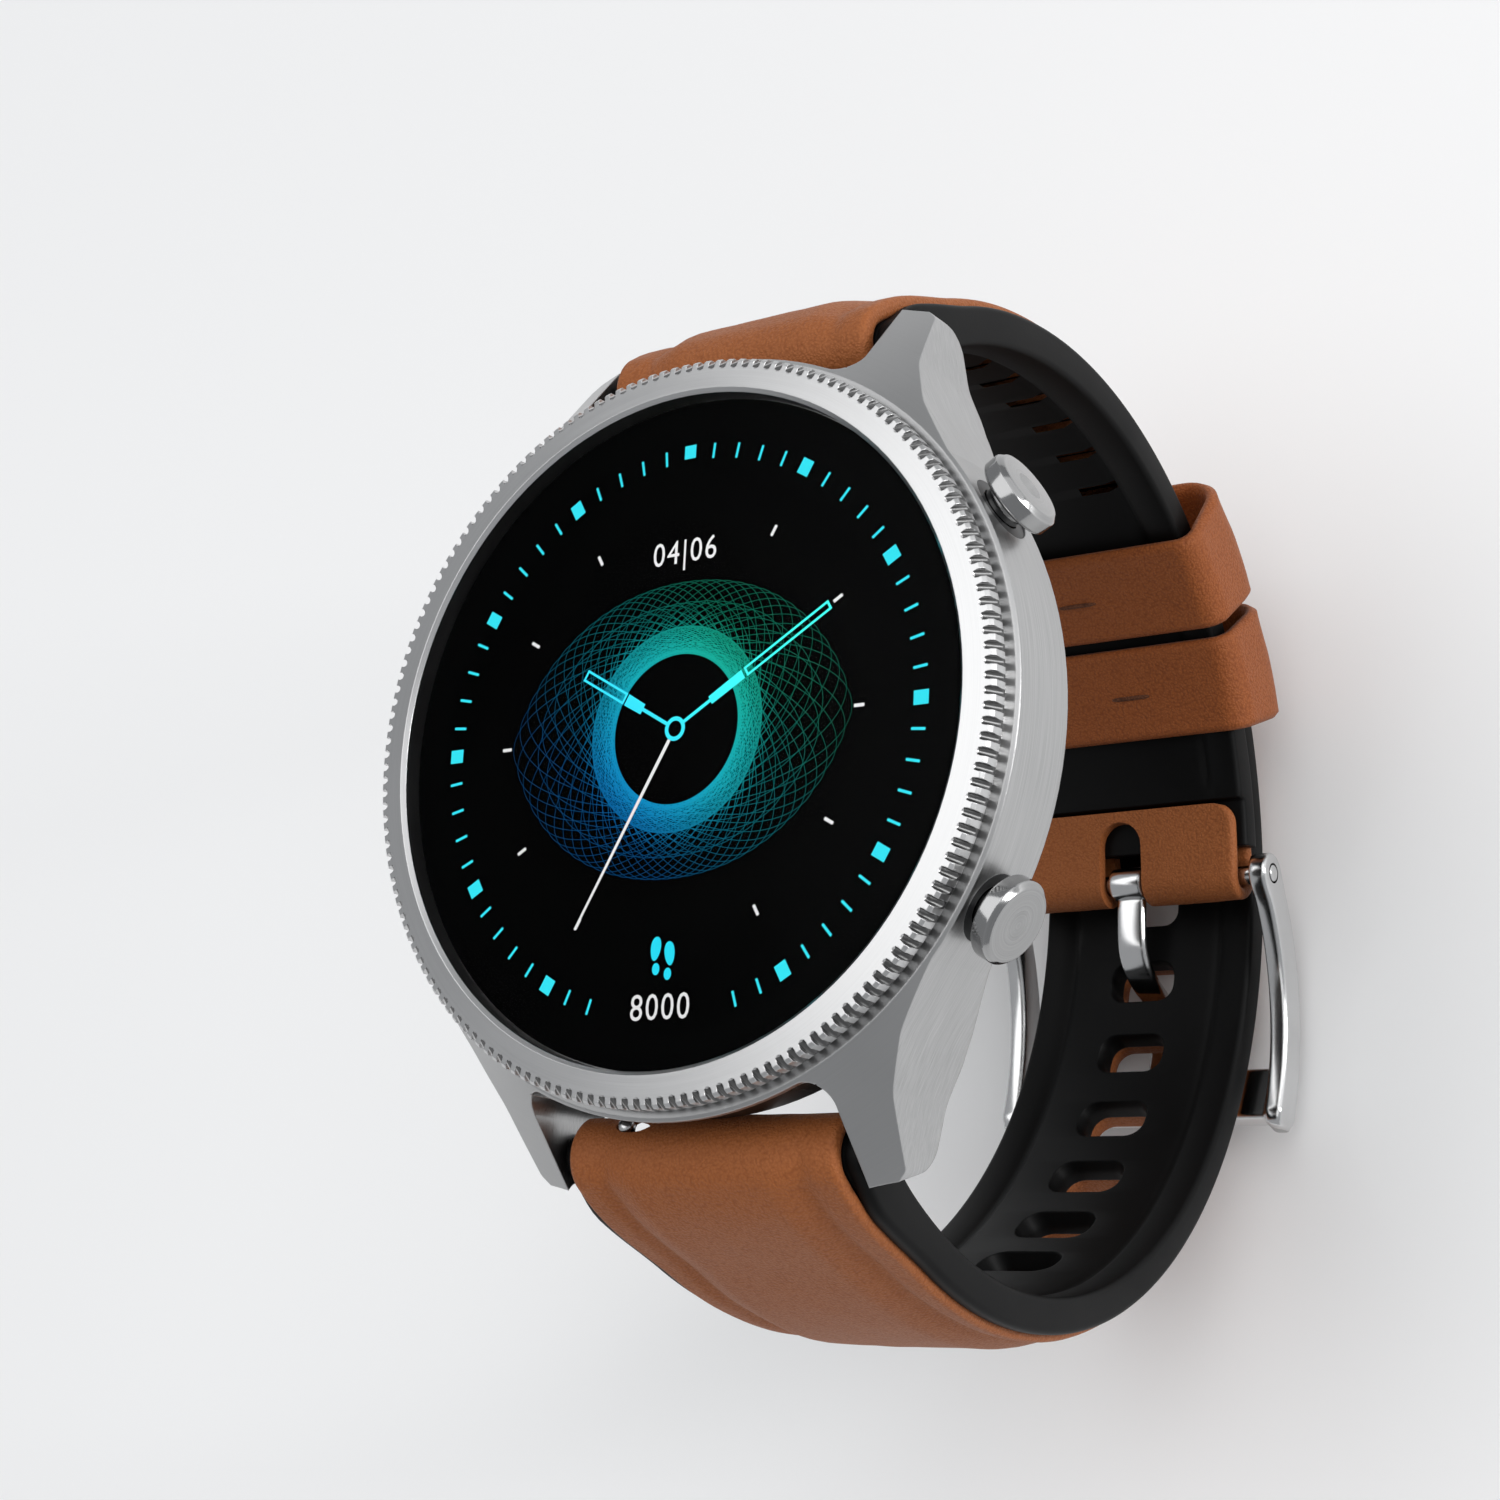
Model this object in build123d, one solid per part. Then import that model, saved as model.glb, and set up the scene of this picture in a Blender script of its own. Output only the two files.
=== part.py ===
from build123d import *
import os
from math import atan2, cos, degrees, hypot, radians, sin

# A round smartwatch on a closed two-piece strap, face up, in millimetres.
# +Z is the dial's normal, +Y points to 12 o'clock and +X to 3 o'clock.
# The origin is the centre of the sensor face on the case back. Depths are
# measured down from the top of the cover glass.

# ---- driving dimensions: case -------------------------------------------------
BACK_DEPTH = 11.3            # glass top to sensor face
CASE_R = 23.2                # brushed side wall
CASE_BORE_R = 21.4
LIP_R = 23.0                 # flat front lip of the case, inside its 45 degree edge
LIP_DEPTH = 1.75
WALL_REAR_DEPTH = 7.1
LUG_GAP_HALF = 11.0          # 22 mm strap between the lugs
LUG_SLOPE = 0.95             # depth gained per mm of radius on the lugs' sloping fronts
BEZEL_R = 22.65
GLASS_R = 20.45
GLASS_T = 1.2
TEETH = 164                  # notches of the coin edge
BUTTON_ANGLE = 30.0          # buttons lie this far either side of 3 o'clock
BUTTON_DEPTH = 4.5
BUTTON_R = 2.55              # push cap
BUTTON_TOP_R = 25.3          # its face, from the case's axis
BUTTON_SEAT_R = 23.95        # its underside, 0.6 mm clear of its sleeve's rim
BUTTON_NECK_R = 1.3
BUTTON_STEM_R = 0.8
SLEEVE_R = 2.1
LUG_HALF_LENGTH = 26.7       # from the dial's centre to the lug tips
LUG_TIP_DEPTH = 10.1
COVER_RIM_DEPTH = 7.4
BATTERY_R = 11.2
BATTERY_TOP_DEPTH = 3.7
BATTERY_BOTTOM_DEPTH = 7.4
SCREW_CIRCLE_R = 18.9
SCREW_ANGLES = (60, 120, 240, 300)
SCREW_PLACES = [(SCREW_CIRCLE_R * cos(radians(a)), SCREW_CIRCLE_R * sin(radians(a))) for a in SCREW_ANGLES]
CONTACT_PLACES = [(-2.0, -18.0), (2.0, -18.0)]

# ---- driving dimensions: strap --------------------------------------------------
BAR_Y = 24.6                 # spring bars
BAR_DEPTH = 8.0
BAR_R = 0.75
LOOP_DEPTH = 27.0            # centre of the closed loop, behind the glass
UPPER_IN_R = 29.5            # wrist side of the upper half
LINING_T = 1.9
LEATHER_T = 1.2
TAIL_IN_R = 33.4             # wrist side of the tail, over the upper half
TAIL_LINING_T = 1.7
TAIL_LEATHER_T = 1.0
TAIL_START = -5.0            # angle where the lower half becomes the tail
TAIL_END = 41.0
LOWER_SHIFT = 2.4            # the lower half's arc centre, moved outwards by this
HOLE_PITCH = 10.05           # degrees of loop between the strap's holes
HOLE_FIRST = -10.8           # the hole that the tongue is in
HEEL_R = 30.85               # buckle pin, as radius and angle in the loop
HEEL_ANGLE = 1.6
PIN_R = 0.75
KEEPER_T = 0.9
KEEPER_HALF = 10.7           # inside of the keepers, half their width
BLANK_HALF = 12.0            # straps are cut to width from strips this much either side
LINING_HALF = 10.8           # half widths at the lugs and at the buckle
LINING_HALF_BUCKLE = 9.9
LEATHER_HALF = 9.6
LEATHER_HALF_BUCKLE = 9.5
TAIL_HALF = 8.8
TAIL_LEATHER_HALF = 7.8
BOSS_R = 1.62                # lining round a spring bar
WRAP_R = 2.2                 # leather round that
GROOVE_HALF = 0.25
BAR_PIN_R = 0.4              # thin ends of the spring bars
BAR_PIN_REACH = 12.0
BUCKLE_HALF = 11.65
ARM_X = 10.95
ARM_HALF_T = 0.7
ARM_HALF_W = 1.25
TONGUE_HALF_T = 0.4
TONGUE_HALF_W = 1.15


def z_at(depth):
    return BACK_DEPTH - depth


LOOP = (0.0, z_at(LOOP_DEPTH))


def polar(centre, radius, angle):
    """A (y, z) point of the loop. Angle 0 points away from the dial, 90 to 12 o'clock."""
    a = radians(angle)
    return centre[0] + radius * sin(a), centre[1] - radius * cos(a)


LOWER = polar(LOOP, LOWER_SHIFT, TAIL_START)
LOWER_IN_R = TAIL_IN_R - LOWER_SHIFT
HEEL = polar(LOOP, HEEL_R, HEEL_ANGLE)
BAR_Z = z_at(BAR_DEPTH)


# ---- helpers --------------------------------------------------------------------
def turned(points):
    """A solid of revolution about Z from (radius, depth) points."""
    outline = Polyline([(r, z_at(d)) for r, d in points], close=True)
    return revolve(Plane.XZ * make_face(outline), Axis.Z)


def ring(r_in, r_out, d_top, d_bottom):
    return turned([(r_in, d_top), (r_out, d_top), (r_out, d_bottom), (r_in, d_bottom)])


def disc(radius, d_top, d_bottom, x=0.0, y=0.0):
    body = Cylinder(radius, d_bottom - d_top)
    return Pos(x, y, z_at((d_top + d_bottom) / 2)) * body


def slab(x, y, depth, size):
    return Pos(x, y, z_at(depth)) * Box(*size)


def rod_x(radius, x0, x1, y, z):
    return Pos((x0 + x1) / 2, y, z) * Rot(0, 90, 0) * Cylinder(radius, x1 - x0)


def across(face, half_width):
    """A face drawn in (y, z), made into a solid across the strap."""
    return extrude(Plane.YZ * face, half_width, both=True)


def band(centre, r_in, r_out, a0, a1, half_width):
    """A piece of hoop about an axis along X."""
    mid = (a0 + a1) / 2
    outer = ThreePointArc(*(polar(centre, r_out, a) for a in (a0, mid, a1)))
    inner = ThreePointArc(*(polar(centre, r_in, a) for a in (a1, mid, a0)))
    ends = [Line(outer @ 1, inner @ 0), Line(inner @ 1, outer @ 0)]
    return across(make_face([outer, ends[0], inner, ends[1]]), half_width)


def angle_from(centre, point):
    return degrees(atan2(point[0] - centre[0], centre[1] - point[1]))


def taper(half_at_bar, half_at_buckle):
    """A wedge that gives a strap half its width, from the lugs to the buckle."""
    slope = (half_at_bar - half_at_buckle) / (LOOP_DEPTH + 31 - BAR_DEPTH)
    far_depth = LOOP_DEPTH + 45
    half_far = half_at_bar - slope * (far_depth - BAR_DEPTH)
    half_near = half_at_bar + slope * BAR_DEPTH
    corners = [(-half_far, z_at(far_depth)), (half_far, z_at(far_depth)), (half_near, z_at(0)),
               (-half_near, z_at(0))]
    return extrude(Plane.XZ * make_face(Polyline(corners, close=True)), 60, both=True)


def radial(angle):
    """The place of a button: local +Z points outwards from the case's axis."""
    a = radians(angle)
    return Plane(origin=(0, 0, z_at(BUTTON_DEPTH)), x_dir=(0, 0, 1), z_dir=(cos(a), sin(a), 0))


def post(place, radius, r0, r1):
    """A cylinder along a button's axis, between two distances from the case's axis."""
    return place * Pos(0, 0, (r0 + r1) / 2) * Cylinder(radius, r1 - r0)


# ---- case -----------------------------------------------------------------------
def lug_outline(sx, sy):
    """One lug in plan, with its sweep into the round wall and its blunt tip."""
    corners = [(LUG_GAP_HALF, 16.0), (LUG_GAP_HALF, LUG_HALF_LENGTH), (12.4, 26.5), (13.35, 25.6)]
    corners += [(14.15, 21.6), (15.6, 18.4), (18.75, 13.45), (16.0, 12.0)]
    return make_face(Polyline([(sx * x, sy * y) for x, y in corners], close=True))


def lug_side():
    """The lugs seen from 3 o'clock: they droop behind the wall towards the wrist."""
    tip, heel = (26.3, 7.2), (25.1, LUG_TIP_DEPTH)
    belly, root = (18.6, LUG_TIP_DEPTH), (13.2, WALL_REAR_DEPTH)
    halves = []
    for sy in (1, -1):
        corners = [(0, 0), (28, 0), (28, 6.8), tip, heel, belly, root, (0, WALL_REAR_DEPTH)]
        half = make_face(Polyline([(sy * y, z_at(d)) for y, d in corners], close=True))
        for (y, d), radius in ((tip, 1.2), (heel, 1.8), (belly, 5.0), (root, 5.0)):
            corner = [v for v in half.vertices() if abs(v.X - sy * y) + abs(v.Y - z_at(d)) < 0.01]
            half = fillet(corner, radius)
        halves.append(half)
    return extrude(Plane.YZ * (halves[0] + halves[1]), 30, both=True)


def case_body():
    front = turned([(CASE_BORE_R, LIP_DEPTH), (LIP_R, LIP_DEPTH), (31, LIP_DEPTH + 8 * LUG_SLOPE),
                    (31, 12), (CASE_BORE_R, 12)])
    outline = Circle(CASE_R)
    for sx in (1, -1):
        for sy in (1, -1):
            outline += lug_outline(sx, sy)
    inner_corners = [v for v in outline.vertices()
                     if abs(abs(v.X) - LUG_GAP_HALF) < 0.05 and 20 < abs(v.Y) < 21]
    outline = fillet(inner_corners, 1.2)
    sweeps = [v for v in outline.vertices() if 13 < abs(v.X) < 16 and 17 < abs(v.Y) < 22.5]
    outline = fillet(sweeps, 5.0)
    tips = [v for v in outline.vertices() if 25 < abs(v.Y) < 26.6 and abs(v.X) > 12]
    outline = fillet(tips, 0.7)
    prism = Pos(0, 0, z_at(12)) * extrude(outline, 12)
    wall = prism & front & lug_side()
    wall -= disc(22.0, WALL_REAR_DEPTH, 12)
    for sy in (1, -1):
        # Between the lugs only the thin front lip is metal.
        wall -= slab(0, sy * 21.5, 7.2, (2 * 10.4, 7.0, 9.7))
        for sx in (1, -1):
            wall -= rod_x(0.45, min(sx * 10.5, sx * 12.3), max(sx * 10.5, sx * 12.3), sy * BAR_Y, BAR_Z)
    for side in (1, -1):
        wall -= post(radial(side * BUTTON_ANGLE), SLEEVE_R, 20.0, 24.5)
    return wall


def bezel_ring():
    bezel = turned([(20.5, 0.05), (20.75, -0.2), (22.45, 0.03), (BEZEL_R, 0.25), (BEZEL_R, 1.2),
                    (22.3, LIP_DEPTH), (21.35, LIP_DEPTH), (21.35, 2.9), (20.3, 2.9), (20.3, 2.0),
                    (19.35, 2.0), (19.35, 1.4), (20.5, 1.4)])
    slot = Plane(origin=(22.33, 0, z_at(0.05)), x_dir=(0, 1, 0), z_dir=(0.52, 0, -0.85))
    profile = Circle(0.24) + Pos(0, 0.6) * Rectangle(0.48, 1.2)
    cutter = extrude(slot * profile, 1.5, both=True)
    notches = [Rot(0, 0, 360 * (i + 0.5) / TEETH) * cutter for i in range(TEETH)]
    return bezel - notches


def rear_cover():
    shell = turned([(0, 9.0), (11.5, 8.9), (15.6, 8.6), (19.6, 7.6), (20.6, 7.2), (20.6, 6.35), (21.35, 6.35),
                    (21.35, WALL_REAR_DEPTH), (21.9, WALL_REAR_DEPTH), (21.9, COVER_RIM_DEPTH), (20.5, 8.6),
                    (16.0, 9.7), (13.6, 10.9), (11.2, 11.1), (11.2, 10.2), (9.2, 10.2), (9.2, 9.7), (0, 9.7)])
    wall = turned([(CASE_BORE_R, 2.4), (22.55, 2.4), (22.55, 6.2), (21.9, WALL_REAR_DEPTH),
                   (21.9, COVER_RIM_DEPTH), (CASE_BORE_R, COVER_RIM_DEPTH)])
    for sy in (1, -1):
        shell += wall & slab(0, sy * 21.5, 5.0, (2 * 10.35, 7.0, 6.0))
    shell -= disc(8.0, 8.0, 10.0)
    for x, y in SCREW_PLACES:
        shell -= disc(0.55, 5, 12, x, y)
        shell -= disc(1.05, 8.3, 12, x, y)
    for x, y in CONTACT_PLACES:
        shell -= disc(0.9, 5, 12, x, y)
    return shell - ring(21.0, 21.5, 6.5, 6.85)


def mid_frame():
    frame = ring(0, 21.3, 3.0, 3.6) + ring(20.4, 21.3, 3.6, 6.2)
    for x, y in SCREW_PLACES:
        frame += disc(1.3, 3.6, 6.9, x, y)
        frame -= disc(0.5, 5.0, 7.0, x, y)
    for side in (1, -1):
        place = radial(side * BUTTON_ANGLE)
        frame -= place * Pos(0, 0, 20.6) * Box(3.0, 4.4, 2.6)
    frame -= slab(-19.9, 0, 3.3, (0.9, 8.0, 1.0))
    return frame


def main_board():
    board = ring(11.8, 17.3, 4.4, 5.2)
    for side in (1, -1):
        board -= radial(side * BUTTON_ANGLE) * Pos(0, 0, 18.3) * Box(6, 3.0, 2.6)
    return board


def board_components():
    places = [(0, 14.5, 4.2, 3.6), (8.6, 11.6, 3.0, 3.0), (-8.8, 11.4, 3.2, 2.6), (0, -14.5, 5.0, 3.4),
              (-9.4, -11.2, 2.4, 3.0), (9.2, -11.4, 2.8, 2.2)]
    return Compound(children=[slab(x, y, 5.65, (w, h, 0.9)) for x, y, w, h in places])


def shield_can():
    return slab(14.5, 0, 5.75, (4.2, 7.0, 1.1)) - slab(14.5, 0, 5.65, (3.8, 6.6, 0.9))


def display_flex():
    strip = slab(-17.6, 0, 2.66, (4.7, 6.0, 0.1))
    strip += slab(-19.9, 0, 3.5, (0.1, 6.0, 1.78))
    strip += slab(-18.2, 0, 4.34, (3.5, 6.0, 0.1))
    return strip


def sensor_parts():
    eyes = [disc(1.1, 9.75, 10.15)]
    for i in range(4):
        a = radians(45 + 90 * i)
        eyes.append(slab(4.2 * cos(a), 4.2 * sin(a), 9.95, (2.2, 2.2, 0.4)))
    return Compound(children=eyes)


def sensor_window():
    return turned([(0, 10.2), (11.1, 10.2), (11.1, 11.0), (10.2, BACK_DEPTH), (0, BACK_DEPTH)])


def charge_contacts():
    return Compound(children=[disc(0.88, 8.2, 9.4, x, y) for x, y in CONTACT_PLACES])


def rear_screws():
    screws = []
    for x, y in SCREW_PLACES:
        screw = disc(0.48, 5.3, 8.4, x, y) + disc(1.0, 8.3, 8.95, x, y)
        screws.append(screw - slab(x, y, 8.9, (1.3, 0.25, 0.3)))
    return Compound(children=screws)


# ---- buttons --------------------------------------------------------------------
def button(place):
    head = post(place, BUTTON_R, BUTTON_SEAT_R, BUTTON_TOP_R)
    rims = [e for e in head.edges() if e.geom_type == GeomType.CIRCLE]
    rims = sorted(rims, key=lambda e: hypot(e.center().X, e.center().Y))
    head = chamfer(rims[-1], 0.32)
    return head + post(place, BUTTON_NECK_R, 22.9, BUTTON_SEAT_R) + post(place, BUTTON_STEM_R, 20.5, 22.9)


def button_sleeve(place):
    body = post(place, SLEEVE_R, 21.45, 23.1) - post(place, BUTTON_STEM_R + 0.06, 21, 24)
    return body - post(place, BUTTON_NECK_R + 0.08, 22.0, 24)


def button_spring(place):
    return post(place, 1.3, 22.02, 22.3) - post(place, 0.95, 22.0, 22.4)


def button_clip(place):
    return post(place, 1.25, 21.1, 21.38) - post(place, BUTTON_STEM_R, 21, 21.5)


def side_switches():
    group = []
    for side in (1, -1):
        place = radial(side * BUTTON_ANGLE)
        group.append(place * Pos(0, 0, 18.9) * Box(1.6, 2.6, 1.5) + post(place, 0.5, 19.6, 19.9))
    return Compound(children=group)


# ---- strap ----------------------------------------------------------------------
def end_boss(sy, radius, half_width):
    return rod_x(radius, -half_width, half_width, sy * BAR_Y, BAR_Z)


def release_slot(sy):
    """The way for the release knob: through the strap's end, towards the case."""
    lean = Plane(origin=(0, sy * BAR_Y, BAR_Z), x_dir=(1, 0, 0), z_dir=(0, -sy * 0.707, 0.707))
    return lean * Pos(-5.35, 0, 2.0) * Box(2.6, 1.3, 4.0)


def strap_hole(angle):
    """One oblong hole for the tongue, through both layers of the lower half."""
    y, z = polar(LOOP, 30, angle)
    a = radians(angle)
    place = Plane(origin=(0, y, z), x_dir=(1, 0, 0), z_dir=(0, sin(a), -cos(a)))
    return extrude(place * RectangleRounded(4.9, 2.9, 1.15), 10)


def hole_angles():
    return [HOLE_FIRST + HOLE_PITCH * i for i in (2, 1, 0, -1, -2, -3, -4, -5)]


def upper_bar_angle():
    return angle_from(LOOP, (BAR_Y, BAR_Z))


def upper_strap_lining():
    end = upper_bar_angle()
    body = band(LOOP, UPPER_IN_R, UPPER_IN_R + LINING_T, 5.6, end, BLANK_HALF)
    body += end_boss(1, BOSS_R, BLANK_HALF)
    body &= taper(LINING_HALF, LINING_HALF_BUCKLE)
    body -= band(LOOP, UPPER_IN_R - 1, UPPER_IN_R + 0.55, 3, 12.0, BLANK_HALF)
    for sx in (1, -1):
        groove = band(LOOP, UPPER_IN_R - 1, UPPER_IN_R + 0.3, 14, end - 4, GROOVE_HALF)
        body -= Pos(sx * 7.6, 0, 0) * groove
    for angle in (66, 73, 80, 87):
        slit = band(LOOP, UPPER_IN_R - 1, UPPER_IN_R + 0.8, angle, angle + 1.0, 1.6)
        body -= Pos(5.9, 0, 0) * slit
        body -= Pos(-5.9, 0, 0) * slit
    body -= rod_x(BAR_R, -BLANK_HALF, BLANK_HALF, BAR_Y, BAR_Z)
    return body - release_slot(1)


def end_wrap(sy, centre, r_out, first, last):
    """The leather's lap round a spring bar, between two angles of the strap's arc."""
    wrap = end_boss(sy, WRAP_R, BLANK_HALF) - end_boss(sy, BOSS_R, BLANK_HALF)
    wrap -= band(centre, 20, r_out, sy * 90, last + sy * 5, BLANK_HALF + 1)
    sector = [polar(centre, 40, first), polar(centre, 20, first), polar(centre, 20, last),
              polar(centre, 45, last)]
    return wrap & across(make_face(Polyline(sector, close=True)), BLANK_HALF)


def upper_strap_leather():
    r_out = UPPER_IN_R + LINING_T
    end = upper_bar_angle()
    body = band(LOOP, r_out, r_out + LEATHER_T, HEEL_ANGLE, end - 3, BLANK_HALF)
    body += band(LOOP, UPPER_IN_R - 0.4, UPPER_IN_R + 0.5, HEEL_ANGLE, 11.8, BLANK_HALF)
    body += rod_x(1.75, -BLANK_HALF, BLANK_HALF, *HEEL)
    body &= taper(LEATHER_HALF, LEATHER_HALF_BUCKLE)
    body += end_wrap(1, LOOP, r_out, end - 5, end + 15) & taper(LEATHER_HALF, LEATHER_HALF_BUCKLE)
    body -= rod_x(PIN_R + 0.07, -BLANK_HALF, BLANK_HALF, *HEEL)
    body -= Pos(0, *HEEL) * Box(3.5, 5.0, 6.0)
    return body - release_slot(1)


def lower_bar_angle():
    return angle_from(LOWER, (-BAR_Y, BAR_Z))


def lower_layer(r0, thickness, bar_gap):
    """One layer of the lower half: its long arc and the tail beyond the buckle."""
    long_arc = band(LOWER, LOWER_IN_R + r0, LOWER_IN_R + r0 + thickness, lower_bar_angle() + bar_gap,
                    TAIL_START, BLANK_HALF)
    tail = band(LOOP, TAIL_IN_R + r0, TAIL_IN_R + r0 + thickness, TAIL_START, TAIL_END, BLANK_HALF)
    return long_arc + tail


def tail_corners(tip_radius):
    """What is cut away to give the tail its round tip."""
    start = TAIL_END - degrees(tip_radius / (TAIL_IN_R + 2))
    y, z = polar(LOOP, 30, start)
    a = radians(start)
    place = Plane(origin=(0, y, z), x_dir=(1, 0, 0), z_dir=(0, sin(a), -cos(a)))
    return band(LOOP, 32, 38, start, TAIL_END + 2, BLANK_HALF) - extrude(place * Circle(tip_radius), 12)


def lower_strap_lining():
    body = lower_layer(0, TAIL_LINING_T, 0)
    body += end_boss(-1, BOSS_R, BLANK_HALF)
    body &= taper(LINING_HALF, TAIL_HALF)
    body -= tail_corners(8.3)
    groove_r = LOWER_IN_R + 0.3
    for sx in (1, -1):
        groove = band(LOWER, LOWER_IN_R - 1, groove_r, lower_bar_angle() + 4, TAIL_START, GROOVE_HALF)
        body -= Pos(sx * 6.6, 0, 0) * groove
    for angle in hole_angles():
        body -= strap_hole(angle)
    body -= rod_x(BAR_R, -BLANK_HALF, BLANK_HALF, -BAR_Y, BAR_Z)
    return body - release_slot(-1)


def lower_strap_leather():
    body = lower_layer(TAIL_LINING_T, TAIL_LEATHER_T, 3) & taper(LEATHER_HALF, TAIL_LEATHER_HALF)
    body -= tail_corners(7.9)
    end = lower_bar_angle()
    wrap = end_wrap(-1, LOWER, LOWER_IN_R + TAIL_LINING_T, end + 5, end - 15)
    body += wrap & taper(LEATHER_HALF, TAIL_LEATHER_HALF)
    for angle in hole_angles():
        body -= strap_hole(angle)
    return body - release_slot(-1)


def keeper(a0, a1, gap):
    """A leather loop round both strap layers, curved with the strap."""
    r_in = UPPER_IN_R - gap
    r_out = TAIL_IN_R + TAIL_LINING_T + TAIL_LEATHER_T + 0.15
    mid = (r_in + r_out) / 2
    high = r_out - r_in
    outer = RectangleRounded(2 * (KEEPER_HALF + KEEPER_T), high + 2 * KEEPER_T, 2.2)
    inner = RectangleRounded(2 * KEEPER_HALF, high, 0.6)
    y, z = polar(LOOP, mid, a0)
    a = radians(a0)
    place = Plane(origin=(0, y, z), x_dir=(1, 0, 0), z_dir=(0, cos(a), sin(a)))
    axis = Axis((0, LOOP[0], LOOP[1]), (1, 0, 0))
    return revolve(place * (outer - inner), axis, a1 - a0)


# ---- spring bars ----------------------------------------------------------------
def spring_bar(sy):
    y, z = sy * BAR_Y, BAR_Z
    bar = rod_x(BAR_R, -10.5, 10.6, y, z) + rod_x(BAR_PIN_R, 10.6, BAR_PIN_REACH, y, z)
    bar -= rod_x(0.46, -11, 2.0, y, z)
    return bar - release_slot(sy)


def release_pin(sy):
    y, z = sy * BAR_Y, BAR_Z
    pin = rod_x(BAR_PIN_R + 0.01, -BAR_PIN_REACH, -5.2, y, z)
    lean = Plane(origin=(0, y, z), x_dir=(1, 0, 0), z_dir=(0, -sy * 0.707, 0.707))
    pin += lean * Pos(-6.0, 0, 1.15) * Cylinder(0.35, 2.3)
    return pin + lean * Pos(-6.0, 0, 2.45) * Sphere(0.55)


def bar_spring(sy):
    """The bar's coil, at the length it has when the pin is drawn right back."""
    coils = [Pos(-3.7 + 0.62 * i, sy * BAR_Y, BAR_Z) * Rot(0, 90, 0) * Torus(0.28, 0.09) for i in range(9)]
    return Compound(children=coils)


# ---- buckle ---------------------------------------------------------------------
def circle_through(p, q, r):
    (ax, ay), (bx, by), (cx, cy) = p, q, r
    d = 2 * (ax * (by - cy) + bx * (cy - ay) + cx * (ay - by))
    a2, b2, c2 = ax * ax + ay * ay, bx * bx + by * by, cx * cx + cy * cy
    ux = (a2 * (by - cy) + b2 * (cy - ay) + c2 * (ay - by)) / d
    uy = (a2 * (cx - bx) + b2 * (ax - cx) + c2 * (bx - ax)) / d
    return (ux, uy), hypot(ax - ux, ay - uy)


def buckle_frame():
    middle = polar(LOOP, 34.9, -12)
    front = polar(LOOP, 37.1, -24.5)
    centre, radius = circle_through(HEEL, middle, front)
    a_heel, a_front = angle_from(centre, HEEL), angle_from(centre, front)
    arm = band(centre, radius - ARM_HALF_W, radius + ARM_HALF_W, a_front, a_heel, ARM_HALF_T)
    arm += rod_x(1.55, -ARM_HALF_T, ARM_HALF_T, *HEEL)
    frame = band(LOOP, 36.35, 37.85, -27.2, -20.6, BUCKLE_HALF)
    for sx in (1, -1):
        frame += Pos(sx * ARM_X, 0, 0) * arm
    return frame - rod_x(PIN_R, -13, 13, *HEEL)


def buckle_pin():
    return rod_x(PIN_R, -BUCKLE_HALF, BUCKLE_HALF, *HEEL)


def buckle_tongue():
    route = [(31.0, 0.6), (31.1, -4.5), (31.75, -8.7), (33.9, -10.9), (36.4, -11.9), (38.1, -14.6),
             (38.6, -18.5), (38.35, -24.5)]
    path = Polyline([polar(LOOP, r, a) for r, a in route])
    blade = across(make_face(offset(path, TONGUE_HALF_T, side=Side.BOTH)), TONGUE_HALF_W)
    tongue = blade + rod_x(1.25, -1.3, 1.3, *HEEL)
    return tongue - rod_x(PIN_R + 0.06, -2, 2, *HEEL)


# ---- every sub-part by name -------------------------------------------------------
def make_all():
    upper, lower = radial(BUTTON_ANGLE), radial(-BUTTON_ANGLE)
    return {
        "case_body": case_body(),
        "bezel_ring": bezel_ring(),
        "cover_glass": disc(GLASS_R, 0, GLASS_T),
        "glass_gasket": ring(19.4, 20.4, GLASS_T, 1.4),
        "touch_sensor": disc(19.2, GLASS_T, 1.45),
        "display_panel": disc(18.7, 1.45, 2.6),
        "display_flex": display_flex(),
        "mid_frame": mid_frame(),
        "main_board": main_board(),
        "board_components": board_components(),
        "shield_can": shield_can(),
        "battery": disc(BATTERY_R, BATTERY_TOP_DEPTH, BATTERY_BOTTOM_DEPTH),
        "vibration_motor": disc(3.4, 5.3, 7.7, -14.95, 0),
        "side_switches": side_switches(),
        "rear_cover": rear_cover(),
        "rear_gasket": ring(21.02, 21.38, 6.52, 6.83),
        "sensor_board": disc(7.8, 9.05, 9.7),
        "sensor_parts": sensor_parts(),
        "sensor_window": sensor_window(),
        "charge_contacts": charge_contacts(),
        "rear_screws": rear_screws(),
        "upper_button": button(upper),
        "upper_button_clip": button_clip(upper),
        "upper_button_sleeve": button_sleeve(upper),
        "upper_button_spring": button_spring(upper),
        "lower_button": button(lower),
        "lower_button_clip": button_clip(lower),
        "lower_button_sleeve": button_sleeve(lower),
        "lower_button_spring": button_spring(lower),
        "upper_strap_lining": upper_strap_lining(),
        "upper_strap_leather": upper_strap_leather(),
        "lower_strap_lining": lower_strap_lining(),
        "lower_strap_leather": lower_strap_leather(),
        "fixed_keeper": keeper(22.0, 35.8, 0.0),
        "floating_keeper": keeper(37.6, 51.8, 0.15),
        "upper_spring_bar": spring_bar(1),
        "upper_release_pin": release_pin(1),
        "upper_bar_spring": bar_spring(1),
        "lower_spring_bar": spring_bar(-1),
        "lower_release_pin": release_pin(-1),
        "lower_bar_spring": bar_spring(-1),
        "buckle_frame": buckle_frame(),
        "buckle_pin": buckle_pin(),
        "buckle_tongue": buckle_tongue(),
    }


os.makedirs("parts", exist_ok=True)
for node, solid in make_all().items():
    export_step(solid, f"parts/{node}.step")
    print(node, round(solid.volume, 2))
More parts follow.
